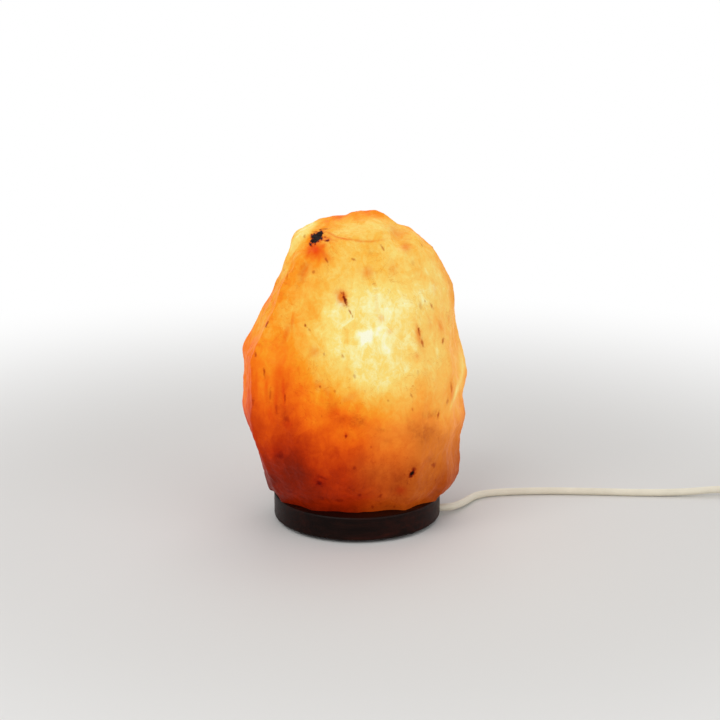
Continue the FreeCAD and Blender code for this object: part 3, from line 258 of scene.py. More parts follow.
def rock_salt():
    """Lit from inside: near the lamp pale yellow, then orange, then deep red, with stains."""
    salt = Finish("rock_salt", Roughness=0.5, IOR=1.54, Specular_IOR_Level=0.05,
                  Emission_Strength=LIT_SHARE)
    marks = {name: salt.add("Attribute", attribute_name=name).outputs["Fac"]
             for name in ("level", "dark", "stain", "haze")}
    clouds = salt.noise(38.0, 4.0, 0.55, 0.8)
    level = salt.math("ADD", marks["level"], salt.ranged(clouds, 0.3, 0.7, -0.032, 0.032))
    wisps = salt.noise(1.0, 4.0, 0.65, 1.6, at=salt.stretched(150, 150, 90, (0.25, 0.5, 0)))
    level = salt.math("ADD", level, salt.ranged(wisps, 0.35, 0.7, 0.02, -0.028))
    for size, depth in ((68.0, 0.022), (190.0, 0.009)):
        level = salt.math("ADD", level, salt.plates(size, -depth, depth))
    grit = salt.noise(420.0, 3.0, 0.7)
    level = salt.math("ADD", level, salt.ranged(grit, 0.3, 0.7, -0.012, 0.012))
    red_side = salt.ramp(
        level, (0.0, screen(70, 12, 2)), (0.20, screen(112, 22, 2)), (0.28, screen(138, 30, 2)),
        (0.35, screen(160, 38, 2)), (0.42, screen(184, 50, 3)), (0.50, screen(208, 70, 6)),
        (0.56, screen(226, 86, 9)), (0.62, screen(239, 102, 12)), (0.70, screen(250, 126, 20)),
        (0.77, screen(252, 154, 32)), (0.85, screen(251, 190, 75)), (0.92, screen(251, 221, 120)),
        (0.97, screen(251, 244, 178)), (1.0, screen(252, 250, 220)))
    tan_side = salt.ramp(
        level, (0.0, screen(95, 32, 6)), (0.20, screen(135, 52, 9)), (0.34, screen(168, 71, 13)),
        (0.50, screen(202, 104, 31)), (0.62, screen(222, 124, 42)), (0.72, screen(243, 148, 57)),
        (0.79, screen(250, 167, 68)), (0.87, screen(251, 188, 88)), (0.93, screen(251, 208, 108)),
        (0.97, screen(251, 232, 148)), (1.0, screen(252, 246, 195)))
    place = salt.add("SeparateXYZ", {0: salt.place}).outputs
    across = salt.math("SUBTRACT", place[0], salt.ranged(place[2], 0.115, 0.200, 0.0, 0.045))
    drift = salt.math("ADD", across, salt.ranged(salt.noise(16.0, 2.0), 0.3, 0.7, -0.02, 0.02))
    side = salt.ranged(drift, -0.015, 0.058, smooth=True)
    colour = salt.mixed(side, red_side, tan_side)
    speckle = salt.ranged(salt.noise(300.0, 3.0, 0.7), 0.35, 0.65, 0.35, 1.25)
    haze = salt.math("MULTIPLY", marks["haze"], speckle)
    # The stain tint darkens the real stains and also the painted shade on the crease along the top facet's front
    # edge.
    for mask, tint in ((marks["stain"], (240, 150, 84)), (haze, (204, 178, 168)),
                       (salt.flecks(72.0, 0.05, 0.16, 28.0), (190, 120, 62)),
                       (salt.flecks(150.0, 0.04, 0.17, 45.0), (205, 150, 95)),
                       (salt.threads(48.0, 0.010, 20.0), (222, 180, 135))):
        colour = salt.mixed(mask, colour, salt.mixed(1.0, colour, screen(*tint), "MULTIPLY"))
    brown = salt.mixed(1.0, colour, screen(186, 112, 66), "MULTIPLY")
    colour = salt.mixed(salt.ranged(marks["dark"], 0.0, 0.6), colour, brown)
    colour = salt.mixed(salt.ranged(marks["dark"], 0.5, 0.95), colour, screen(22, 5, 2))
    share = 1.0 - LIT_SHARE
    salt.set("Base Color", salt.mixed(1.0, colour, (share, share, share, 1.0), "MULTIPLY"))
    salt.set("Emission Color", colour)
    salt.set("Roughness", salt.ranged(salt.noise(240.0, 3.0), 0.3, 0.7, 0.36, 0.58))
    salt.bump(salt.noise(170.0, 4.0, 0.55), 0.0009, 0.5)
    salt.bump(salt.noise(900.0, 2.0, 0.6), 0.00012, 0.4)
    salt.material.cycles.emission_sampling = "NONE"
    return salt.material


def stained_wood():
    """Dark stained, with straight grain along X, open pores, turning marks and satin varnish."""
    wood = Finish("stained_wood", Specular_IOR_Level=0.07, Coat_Weight=0.03, Coat_Roughness=0.2)
    warp = wood.noise(11.0, 2.0, 0.5, at=wood.stretched(1, 3, 3))
    grain = wood.noise(1.0, 4.0, 0.62, 0.5, at=wood.stretched(26, 460, 460))
    bands = wood.noise(1.0, 2.0, 0.5, 1.2, at=wood.stretched(7, 105, 150))
    tone = wood.math("ADD", wood.math("MULTIPLY", grain, 0.5), wood.math("MULTIPLY", bands, 0.5))
    tone = wood.math("ADD", tone, wood.ranged(warp, 0.3, 0.7, -0.06, 0.06))
    colour = wood.ramp(tone, (0.32, screen(12, 4, 3)), (0.46, screen(23, 8, 5)),
                       (0.58, screen(36, 12, 7)), (0.74, screen(56, 20, 10)))
    pores = wood.cells(1.0, at=wood.stretched(150, 1500, 1500))
    pore = wood.ranged(pores, 0.10, 0.22, 1.0, 0.0)
    colour = wood.mixed(wood.math("MULTIPLY", pore, 0.65), colour, screen(9, 4, 3))
    wood.set("Base Color", colour)
    wood.set("Roughness", wood.ranged(grain, 0.3, 0.7, 0.36, 0.5))
    turning = wood.noise(1.0, 1.0, 0.5, at=wood.stretched(4, 4, 900))
    wood.bump(turning, 0.00006, 0.5)
    wood.bump(grain, 0.00014, 0.5)
    wood.bump(wood.math("SUBTRACT", 1.0, pore), 0.00018, 0.4)
    return wood.material


def moulded(name, colour, roughness=0.38, grain=0.00003, mottle=5, specular=0.5, coat=0.0):
    """Moulded plastic or rubber: a fine grain, with its colour a little uneven."""
    plastic = Finish(name, Specular_IOR_Level=specular, Coat_Weight=coat, Coat_Roughness=0.12)
    cloud = plastic.noise(70.0, 4.0, 0.6)
    darker = screen(*[max(c - mottle, 0) for c in colour])
    lighter = screen(*[min(c + mottle, 255) for c in colour])
    tint = plastic.ramp(cloud, (0.32, darker), (0.68, lighter))
    dust = plastic.cells(650.0)
    plastic.set("Base Color", plastic.mixed(plastic.ranged(dust, 0.05, 0.10, 0.22, 0.0), tint,
                                            screen(*[c * 0.62 for c in colour])))
    plastic.set("Roughness", plastic.ranged(plastic.noise(300.0, 3.0), 0.3, 0.7,
                                            roughness - 0.05, roughness + 0.07))
    plastic.bump(plastic.noise(2600.0, 2.0, 0.7), grain, 0.6)
    plastic.bump(plastic.noise(120.0, 2.0), 0.00006, 0.25)
    return plastic.material


def metal(name, colour, roughness=0.3, brushed=(1, 1, 1), stain=(0.78, 0.76, 0.74)):
    """Plated or rolled metal: fine lines along one way, with duller patches."""
    plate = Finish(name, Metallic=1.0)
    lines = plate.noise(2400.0, 3.0, 0.65, at=plate.stretched(*brushed))
    patches = plate.noise(95.0, 4.0, 0.6, 0.5)
    dull = tuple(a * b for a, b in zip(screen(*colour)[:3], stain)) + (1.0,)
    plate.set("Base Color", plate.mixed(plate.ranged(patches, 0.42, 0.72), screen(*colour), dull))
    worn = plate.ranged(patches, 0.3, 0.75, roughness - 0.06, roughness + 0.14)
    plate.set("Roughness", plate.math("ADD", worn, plate.ranged(lines, 0.3, 0.7, -0.04, 0.05)))
    plate.bump(lines, 0.00003, 0.5)
    return plate.material


def white_ceramic():
    clay = Finish("white_ceramic", Specular_IOR_Level=0.4)
    speck = clay.cells(480.0)
    tint = clay.ramp(clay.noise(90.0, 4.0), (0.3, screen(226, 220, 207)), (0.7, screen(239, 235, 225)))
    clay.set("Base Color", clay.mixed(clay.ranged(speck, 0.05, 0.12, 0.35, 0.0), tint,
                                      screen(150, 136, 116)))
    clay.set("Roughness", clay.ranged(clay.noise(400.0, 2.0), 0.3, 0.7, 0.55, 0.75))
    clay.bump(clay.noise(1500.0, 3.0, 0.7), 0.00006, 0.6)
    return clay.material


def clear_glass():
    glass = Finish("clear_glass", (252, 252, 250), IOR=1.5, Transmission_Weight=1.0)
    glass.set("Roughness", glass.ranged(glass.noise(60.0, 3.0), 0.4, 0.75, 0.0, 0.03))
    glass.bump(glass.noise(45.0, 2.0), 0.0002, 0.15)
    return glass.material


def tungsten():
    wire = Finish("tungsten", (250, 200, 120), Roughness=0.4, Metallic=0.0, Emission_Strength=1.0)
    hot = wire.ramp(wire.noise(900.0, 2.0), (0.35, screen(255, 214, 140)),
                    (0.65, screen(255, 240, 200)))
    wire.set("Emission Color", hot)
    wire.set("Base Color", screen(30, 24, 18))
    wire.bump(wire.noise(5000.0, 1.0, at=wire.stretched(6, 1, 1)), 0.00005, 0.8)
    return wire.material


def make_finishes():
    """One material for each slot of the record."""
    return {
        "rock_salt": rock_salt(),
        "stained_wood": stained_wood(),
        "zinc_steel": metal("zinc_steel", (200, 201, 199), 0.33, (1, 6, 1)),
        "spring_steel": metal("spring_steel", (176, 178, 181), 0.27, (1, 1, 0.05)),
        "black_rubber": moulded("black_rubber", (38, 37, 37), 0.75, 0.00006, 5, 0.3),
        "black_plastic": moulded("black_plastic", (45, 44, 45), 0.46, 0.00004, 5),
        "white_ceramic": white_ceramic(),
        "brass": metal("brass", (214, 176, 104), 0.26, (1, 4, 1), (0.72, 0.62, 0.5)),
        "core_insulation": moulded("core_insulation", (134, 92, 62), 0.5),
        "ivory_cord": moulded("ivory_cord", (226, 219, 200), 0.44, 0.00004, 5),
        "ivory_plastic": moulded("ivory_plastic", (231, 225, 209), 0.3, 0.00002, 3, 0.5, 0.25),
        "ivory_relief": moulded("ivory_relief", (224, 217, 198), 0.52, 0.00005, 4),
        "rocker_plastic": moulded("rocker_plastic", (222, 215, 197), 0.28, 0.00002, 3, 0.5, 0.3),
        "nickel_pins": metal("nickel_pins", (220, 218, 210), 0.2, (0.1, 1, 1)),
        "clear_glass": clear_glass(),
        "black_glaze": moulded("black_glaze", (46, 46, 58), 0.18, 0.00002, 4, 0.6, 0.6),
        "solder": metal("solder", (190, 190, 188), 0.3),
        "tungsten": tungsten(),
    }


def finish_nodes(finishes):
    """Each CAD node takes the material of its slot."""
    for part in frame["record"]["subparts"]:
        data = NODES[part["node"]].data
        data.materials.clear()
        data.materials.append(finishes[part["material_slot"]])


# ---- pieces ----


def add_piece(name, data, body, finishes, slot, *replaced):
    piece = bpy.data.objects.new(name, data)
    SCENE.collection.objects.link(piece)
    data.materials.clear()
    data.materials.append(finishes[slot])
    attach(piece, body)
    if replaced:
        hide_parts(*replaced)
    return piece


def make_camera():
    data = bpy.data.cameras.new("camera")
    data.lens, data.sensor_width = LENS, SENSOR
    camera = bpy.data.objects.new("camera", data)
    SCENE.collection.objects.link(camera)
    back = Vector((0, -math.cos(VIEW_ELEVATION), math.sin(VIEW_ELEVATION)))
    camera.location = VIEW_TARGET + back * VIEW_DISTANCE
    camera.rotation_euler = (math.pi / 2 - VIEW_ELEVATION, 0, 0)
    SCENE.camera = camera
    return camera


VIEW_RIGHT = Vector((1, 0, 0))
VIEW_UP = Vector((0, math.sin(VIEW_ELEVATION), math.cos(VIEW_ELEVATION)))
VIEW_FORWARD = Vector((0, math.cos(VIEW_ELEVATION), -math.sin(VIEW_ELEVATION)))


def pixel_ray(x, y):
    """The direction in which the camera sees a pixel of the photograph's frame."""
    step = SENSOR / LENS / FRAME_PIXELS
    half = FRAME_PIXELS / 2
    way = VIEW_FORWARD + VIEW_RIGHT * (x - half) * step + VIEW_UP * (half - y) * step
    return way.normalized()


# ---- cords ----


def coil_points():
    """The coil's turns: inwards on the table, up a layer in half a turn, and outwards.

    Half turns share their ends and grow or shrink by half a pitch each. The points stand
    outside the turn, on tangents, so that the smooth line through them has its radius.
    """
    low, high = CORD_LOW, CORD_LOW + COIL_PITCH
    stand_off = 1 / math.cos(math.pi / POINTS_PER_HALF_TURN / 2)
    shrinking = [COIL_RADIUS - k * COIL_PITCH / 2 for k in range(HALF_TURNS_IN)]
    climbing = shrinking[-1] - COIL_PITCH / 2
    growing = [climbing + (k + 1) * COIL_PITCH / 2 for k in range(HALF_TURNS_OUT)]
    points, edge, side = [], COIL_RADIUS, 1
    for turn, radius in enumerate([*shrinking, climbing, *growing]):
        middle = edge - side * radius
        for step in range(POINTS_PER_HALF_TURN):
            share = (step + 0.5) / POINTS_PER_HALF_TURN
            angle = math.pi * share
            if turn == len(shrinking):
                height = low + (high - low) * share
            else:
                height = low if turn < len(shrinking) else high
            along = middle + side * radius * stand_off * math.cos(angle)
            across = side * radius * stand_off * math.sin(angle)
            points.append((COIL_CENTRE[0] + along, COIL_CENTRE[1] - across, height))
        edge, side = edge - 2 * side * radius, -side
    points.append((COIL_CENTRE[0] + edge, COIL_CENTRE[1] - CORD_DIAMETER, high))
    return points


def cord(name, points, finishes, *replaced):
    curve = bpy.data.curves.new(name, "CURVE")
    curve.dimensions = "3D"
    curve.bevel_depth = CORD_DIAMETER / 2
    curve.bevel_resolution = 6
    curve.resolution_u = 8
    curve.use_fill_caps = True
    spline = curve.splines.new("NURBS")
    spline.points.add(len(points) - 1)
    for point, place in zip(spline.points, points):
        point.co = (*place, 1.0)
    spline.order_u = 3
    spline.use_endpoint_u = True
    return add_piece(name, curve, "cord_set", finishes, "ivory_cord", *replaced)


def make_cords(finishes):
    lead = cord("supply_cord", LEAD_ROUTE, finishes, "cord_lead")
    points = [*TAIL_ROUTE, *coil_points(), *PLUG_ROUTE]
    tail = cord("plug_cord", points, finishes, "cord_tail", "cord_coil", "plug_lead")


# ---- bulb ----


def turned_mesh(name, rings, sides):
    """A skin through rings of points, each ring closed on itself, with no caps."""
    points = [point for ring in rings for point in ring]
    rows = [(row, (row + 1) % len(rings)) for row in range(len(rings))]
    faces = [(low * sides + k, low * sides + (k + 1) % sides,
              high * sides + (k + 1) % sides, high * sides + k)
             for low, high in rows for k in range(sides)]
    mesh = bpy.data.meshes.new(name)
    mesh.from_pydata(points, [], faces)
    mesh.shade_smooth()
    return mesh


def make_bulb_cap(finishes):
    """The screw cap, with its rolled thread, plain collar and turned-in foot."""
    low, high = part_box("bulb_cap")
    outer = (high.x - low.x) / 2
    sides, step = 96, 0.25 * MM
    count = round((high.z - low.z) / step)
    rings = []
    for row in range(count + 1):
        z = low.z + (high.z - low.z) * row / count
        above = z - low.z - CAP_FOOT
        fade = min(max(above / CAP_PITCH, 0), max((CAP_THREAD - above) / CAP_PITCH, 0), 1)
        ring = []
        for k in range(sides):
            angle = 2 * math.pi * k / sides
            wave = 0.5 - 0.5 * math.cos(2 * math.pi * above / CAP_PITCH - angle)
            foot = CAP_TURN_IN * max(1 - (z - low.z) / CAP_FOOT, 0) ** 2
            radius = outer - CAP_DEPTH * wave * fade - foot
            ring.append((radius * math.cos(angle), radius * math.sin(angle), z))
        rings.append(ring)
    inside = outer - CAP_DEPTH - CAP_WALL
    for z, radius in ((high.z, inside), (low.z + CAP_FOOT, inside),
                      (low.z, inside - CAP_TURN_IN)):
        rings.append([(radius * math.cos(2 * math.pi * k / sides),
                       radius * math.sin(2 * math.pi * k / sides), z) for k in range(sides)])
    return add_piece("screw_cap", turned_mesh("screw_cap", rings, sides), "bulb", finishes,
                     CAP_SLOT, "bulb_cap")


# ---- rock ----


def evaluated(piece):
    graph = bpy.context.evaluated_depsgraph_get()
    return bpy.data.meshes.new_from_object(piece.evaluated_get(graph))


def helper(name, mesh):
    """An object that is only there while the rock is made."""
    piece = bpy.data.objects.new(name, mesh)
    SCENE.collection.objects.link(piece)
    return piece


def cylinder_mesh(name, spots, radius, bottom, top, sides=96):
    shape = bmesh.new()
    for x, y in spots:
        bmesh.ops.create_cone(shape, cap_ends=True, segments=sides, radius1=radius,
                              radius2=radius, depth=top - bottom,
                              matrix=Matrix.Translation((x, y, (top + bottom) / 2)))
    mesh = bpy.data.meshes.new(name)
    shape.to_mesh(mesh)
    shape.free()
    return mesh


def screw_spots():
    return [(SCREW_CIRCLE * math.cos(math.radians(a)), SCREW_CIRCLE * math.sin(math.radians(a)))
            for a in SCREW_ANGLES]


def rock_blank(seat):
    """The rock's outside as one closed, even and softened mesh, with its holes filled."""
    shape = bmesh.new()
    shape.from_mesh(NODES["salt_crystal"].data)
    for spots, radius, top in (([(0, 0)], BORE_RADIUS, BORE_TOP),
                               (screw_spots(), SCREW_HOLE_RADIUS, SCREW_HOLE_TOP)):
        for x, y in spots:
            bmesh.ops.create_cone(shape, cap_ends=True, segments=48, radius1=radius + 2 * MM,
                                  radius2=radius + 2 * MM, depth=top - seat + 2 * MM,
                                  matrix=Matrix.Translation((x, y, (top + seat) / 2 + MM)))
    for vertex in shape.verts:
        if vertex.co.z < seat + 0.1 * MM:
            vertex.co.z -= FOOT_EXTENSION
    mesh = bpy.data.meshes.new("rock_blank")
    shape.to_mesh(mesh)
    shape.free()
    blank = helper("rock_blank", mesh)
    even = blank.modifiers.new("even", "REMESH")
    even.mode, even.voxel_size = "VOXEL", ROCK_VOXEL
    soft = blank.modifiers.new("soft", "SMOOTH")
    soft.factor, soft.iterations = 0.5, ROCK_SMOOTHING
    fine = blank.modifiers.new("fine", "SUBSURF")
    fine.levels = fine.render_levels = 1
    result = evaluated(blank)
    bpy.data.objects.remove(blank)
    return result


def each_point(points, function):
    return np.array([function(Vector(p)) for p in points], float)


def cell_distance(point, size, stretch, warp):
    """The distance to the middle of the nearest cell of that size, in cells."""
    place = Vector((point.x, point.y, point.z * stretch)) / size
    return noise.voronoi(place + noise.noise_vector(point / (2 * size)) * warp)[0][0]


def rock_relief(points):
    """How far each point of the rock stands out: broad swells, hollow chips and grit."""
    swell = each_point(points, lambda p: noise.fractal(p / 0.032, 0.9, 2.0, 3))
    large = each_point(points, lambda p: cell_distance(p, 0.020, 0.62, 0.5))
    small = each_point(points, lambda p: cell_distance(p, 0.0085, 0.75, 0.6))
    grit = each_point(points, lambda p: noise.fractal(p / 0.0042, 0.8, 2.1, 4))
    relief = (1.1 * MM * swell + 3.1 * MM * (np.minimum(large, 1.1) ** 2 - 0.28)
              + 0.75 * MM * (np.minimum(small, 1.1) ** 2 - 0.28))
    worn = RIDGE_WEAR * np.tanh(relief / RIDGE_WEAR)
    return np.where(relief > 0, worn, relief) + 0.2 * MM * grit


def swelling(points, mesh):
    """How far the rock stands out more, or less, at the places of SWELL_MARKS."""
    tree = BVHTree.FromPolygons([vertex.co for vertex in mesh.vertices],
                                [tuple(face.vertices) for face in mesh.polygons])
    total = np.zeros(len(points))
    for x, y, radius, height in SWELL_MARKS:
        ray = pixel_ray(x, y)
        start = SCENE.camera.location
        spot = tree.find_nearest(start - ray * (start.y / ray.y))[0]
        away = np.linalg.norm(points - np.array(spot), axis=1) / (radius * MM)
        total += height * MM * np.exp(-away ** 2)
    return total


def cut_rock(mesh, seat):
    """Cuts the foot flat and drills the bore and the screw holes."""
    rock = helper("rock_cut", mesh)
    below = bmesh.new()
    bmesh.ops.create_cube(below, size=1.0, matrix=Matrix.Translation((0, 0, seat - 0.05))
                          @ Matrix.Diagonal((0.4, 0.4, 0.1, 1.0)))
    slab = bpy.data.meshes.new("below")
    below.to_mesh(slab)
    below.free()
    cutters = [helper("below", slab),
               helper("bore", cylinder_mesh("bore", [(0, 0)], BORE_RADIUS, seat - 2 * MM, BORE_TOP)),
               helper("holes", cylinder_mesh("holes", screw_spots(), SCREW_HOLE_RADIUS,
                                             seat - 2 * MM, SCREW_HOLE_TOP, 24))]
    for cutter in cutters:
        cut = rock.modifiers.new(cutter.name, "BOOLEAN")
        cut.operation, cut.solver, cut.object = "DIFFERENCE", "EXACT", cutter
    result = evaluated(rock)
    for piece in (rock, *cutters):
        bpy.data.objects.remove(piece)
    return result


# Where the rock's outline stands out or draws in: pixel, radius and height in millimetres.
SWELL_MARKS = (
    (297.0, 230.0, 9.0, 3.4), (288.0, 246.0, 9.0, 0.9), (243.0, 342.0, 9.0, 2.4),
    (243.0, 412.0, 14.0, 1.6), (262.0, 478.0, 12.0, 1.6), (268.0, 487.0, 8.0, 1.2),
    (420.0, 233.0, 8.0, 1.4), (460.0, 440.0, 10.0, 1.2), (455.0, 302.0, 9.0, 0.8),
)

# Marks in the salt as the camera sees them: the pixel of the photograph's frame, how wide and
# tall in millimetres, how far turned anticlockwise in degrees, and how strong.
DARK_MARKS = (
    (317.2, 236.8, 6.6, 6.0, 30, 1.9), (314.6, 240.2, 5.4, 4.0, 45, 1.7),
    (320.6, 233.2, 3.6, 3.4, 20, 1.5), (321.4, 238.4, 2.4, 2.6, 0, 1.0),
    (326.9, 240.6, 3.4, 1.5, 10, 0.85), (325.0, 237.0, 1.4, 1.0, 0, 0.7),
    (310.4, 244.4, 1.6, 3.4, 25, 1.0), (324.6, 229.0, 4.4, 1.2, 5, 0.4),
    (312.0, 234.4, 1.8, 1.2, 0, 0.7),
    (304.5, 236.4, 1.5, 2.6, -15, 0.32), (326.7, 260.6, 1.3, 4.6, 25, 0.43),
    (382.3, 247.6, 1.3, 4.6, 30, 0.43), (353.4, 259.4, 2.8, 1.6, -15, 0.43),
    (344.8, 299.6, 2.3, 7.0, 16, 0.8), (343.6, 293.6, 1.2, 3.4, 10, 0.5),
    (350.2, 312.2, 1.0, 4.8, 28, 0.55),
    (431.4, 305.6, 1.3, 4.0, 30, 0.4), (425.0, 301.0, 1.1, 2.2, 20, 0.29),
    (305.3, 325.2, 1.4, 2.4, 20, 0.58), (309.6, 330.0, 1.1, 2.4, 35, 0.32),
    (419.0, 332.0, 1.4, 6.4, 14, 0.4), (422.2, 342.6, 1.5, 5.6, 12, 0.47),
    (443.0, 340.8, 1.3, 4.0, -8, 0.54), (342.6, 355.6, 1.5, 3.0, 25, 0.36),
    (324.0, 354.2, 1.4, 2.6, 10, 0.32), (264.3, 371.6, 1.5, 4.2, 0, 0.5),
    (255.8, 355.0, 1.3, 2.4, 0, 0.5), (270.3, 395.0, 1.7, 6.4, -6, 0.32),
    (285.0, 398.4, 1.1, 4.6, 0, 0.47), (276.6, 409.0, 1.5, 6.2, 4, 0.29),
    (286.6, 418.8, 4.0, 3.8, 0, 0.32), (279.6, 456.2, 4.9, 2.6, -12, 0.36),
    (320.2, 386.6, 1.5, 2.0, 0, 0.4), (335.0, 391.2, 1.5, 1.6, 0, 0.29),
    (354.6, 376.4, 1.4, 3.6, 8, 0.29), (345.9, 436.2, 1.7, 2.6, -15, 0.61),
    (388.2, 400.6, 1.7, 1.6, 0, 0.29), (411.6, 395.8, 1.1, 3.4, 25, 0.36),
    (412.4, 409.2, 1.1, 1.8, 0, 0.29), (438.2, 415.0, 1.3, 4.6, -12, 0.5),
    (447.4, 401.6, 1.4, 4.8, -15, 0.32), (451.4, 387.0, 1.2, 7.0, 5, 0.32),
    (412.0, 473.6, 3.2, 6.2, -32, 1.0), (413.8, 469.4, 3.6, 3.0, 0, 0.54),
    (407.6, 482.6, 0.9, 3.6, -12, 0.32), (433.4, 465.2, 2.8, 3.4, 10, 0.43),
    (435.6, 480.0, 1.3, 2.4, 0, 0.25), (319.2, 483.2, 4.2, 3.6, -10, 0.61),
    (321.4, 477.4, 8.0, 1.6, -18, 0.36), (354.5, 467.8, 2.1, 2.2, 0, 0.36),
    (360.0, 495.0, 2.1, 2.0, 0, 0.36), (349.0, 488.0, 2.7, 2.0, 0, 0.25),
    (380.4, 495.8, 2.3, 2.6, 10, 0.4), (372.5, 507.0, 1.7, 2.6, 0, 0.4),
    (394.4, 506.6, 1.5, 2.0, 0, 0.36), (289.8, 491.6, 4.2, 2.2, -25, 0.36),
    (322.6, 498.2, 3.6, 2.0, -10, 0.29), (339.0, 500.6, 4.9, 2.0, -6, 0.29),
    (287.4, 275.6, 0.9, 4.0, -8, 0.25), (373.6, 283.8, 2.8, 0.9, 30, 0.22),
)
STAIN_MARKS = (
    (316.0, 250.6, 9.0, 10.0, 0, 0.9), (323.6, 254.0, 4.0, 9.0, 18, 0.7),
    (309.4, 252.0, 3.0, 10.0, -25, 0.7), (314.0, 246.0, 8.0, 5.0, 0, 0.6),
    (266.4, 388.0, 3.4, 20.0, 2, 0.5), (276.0, 398.0, 3.0, 22.0, -3, 0.45),
    (283.6, 392.0, 2.4, 22.0, 3, 0.5), (270.0, 412.0, 4.0, 14.0, 8, 0.4),
    (288.0, 424.0, 7.0, 7.0, 0, 0.45), (256.0, 382.0, 2.6, 14.0, -4, 0.35),
    (300.0, 388.0, 7.0, 4.0, 20, 0.3), (328.0, 394.0, 4.0, 18.0, 30, 0.35),
    (276.6, 452.0, 11.0, 8.0, -10, 0.4), (336.0, 410.0, 5.0, 12.0, 25, 0.4), (322.0, 246.6, 6.0, 4.0, 20, 0.7),
    (304.6, 271.4, 5.6, 9.6, -22, 0.55), (326.0, 258.0, 6.0, 8.0, 20, 0.4),
    (405.4, 246.6, 6.6, 7.0, 10, 0.65), (367.4, 272.4, 6.6, 6.4, 0, 0.55),
    (392.8, 268.4, 5.6, 9.0, 0, 0.28), (341.4, 297.6, 5.4, 8.6, 15, 1.2), (340.0, 297.0, 3.0, 5.0, 10, 1.0),
    (339.8, 217.6, 5.6, 2.4, 10, 0.6), (326.6, 239.0, 7.6, 4.0, -5, 0.5),
    (418.6, 335.0, 3.8, 13.0, 14, 0.7), (292.4, 321.6, 2.2, 6.4, -8, 0.5),
    (286.0, 333.6, 3.6, 10.5, -12, 0.5), (314.6, 351.6, 6.4, 6.4, 0, 0.45),
    (279.4, 372.0, 6.6, 9.6, -5, 0.5), (417.0, 355.8, 4.0, 4.6, 0, 0.4),
    (440.2, 326.0, 3.0, 8.6, 5, 0.45), (448.6, 318.0, 3.6, 9.0, 0, 0.35),
    (434.6, 288.0, 3.0, 10.0, 10, 0.25), (376.6, 303.6, 2.2, 20.0, 4, 0.13),
    (381.0, 317.6, 4.0, 5.2, 0, 0.4), (389.8, 331.4, 3.4, 3.6, 0, 0.3),
    (400.8, 490.4, 8.4, 6.4, 0, 0.75), (346.0, 434.6, 3.0, 4.4, 0, 0.5),
    (317.0, 385.0, 7.4, 5.2, 30, 0.35), (350.0, 398.0, 12.0, 5.0, 28, 0.3),
    (319.4, 482.0, 9.6, 6.4, -10, 0.5), (452.0, 392.0, 3.6, 14.0, 6, 0.4),
    (430.0, 322.0, 2.4, 9.0, 12, 0.3), (362.6, 497.0, 20.0, 3.6, 0, 0.3),
)
HAZE_MARKS = (
    (356.8, 421.8, 10.0, 6.6, -15, 0.62), (364.0, 424.0, 5.0, 3.4, -20, 0.45),
    (341.4, 420.2, 7.0, 6.0, 0, 0.42), (431.6, 415.4, 7.6, 5.0, 15, 0.55),
    (425.4, 432.2, 13.0, 9.6, 20, 0.66), (414.6, 428.0, 9.6, 8.0, -10, 0.5),
    (427.6, 436.4, 6.0, 4.4, 0, 0.5), (380.6, 429.6, 9.6, 3.0, -8, 0.42),
    (387.0, 440.6, 8.0, 3.4, -25, 0.3), (274.0, 400.0, 12.0, 17.0, 0, 0.24),
    (284.0, 414.0, 5.0, 12.0, 0, 0.34), (332.0, 408.0, 9.0, 12.0, 25, 0.26),
    (414.6, 467.6, 5.6, 4.6, 0, 0.45), (431.0, 459.6, 6.6, 5.0, 0, 0.4),
    (346.6, 436.0, 7.0, 4.4, 0, 0.24), (303.0, 270.0, 4.0, 10.0, -20, 0.3),
    (298.0, 450.0, 18.0, 22.0, 0, 0.12), (400.4, 470.0, 20.0, 10.0, 0, 0.12),
)
HOT_MARKS = (
    (365.6, 336.0, 13.0, 13.0, 0, 0.05), (365.4, 337.0, 8.0, 8.0, 0, 0.12),
    (380.4, 333.0, 5.0, 9.0, 8, 0.03), (386.2, 354.5, 5.0, 12.0, 22, 0.015),
    (373.6, 332.0, 2.4, 13.0, 2, -0.04), (367.0, 309.0, 10.0, 12.0, 0, 0.02),
    (402.6, 303.0, 8.0, 17.0, 12, 0.025), (388.0, 310.0, 7.0, 12.0, 30, 0.02),
    (395.0, 348.0, 5.0, 12.0, 15, -0.03), (352.0, 350.0, 9.0, 6.0, 0, 0.015),
)
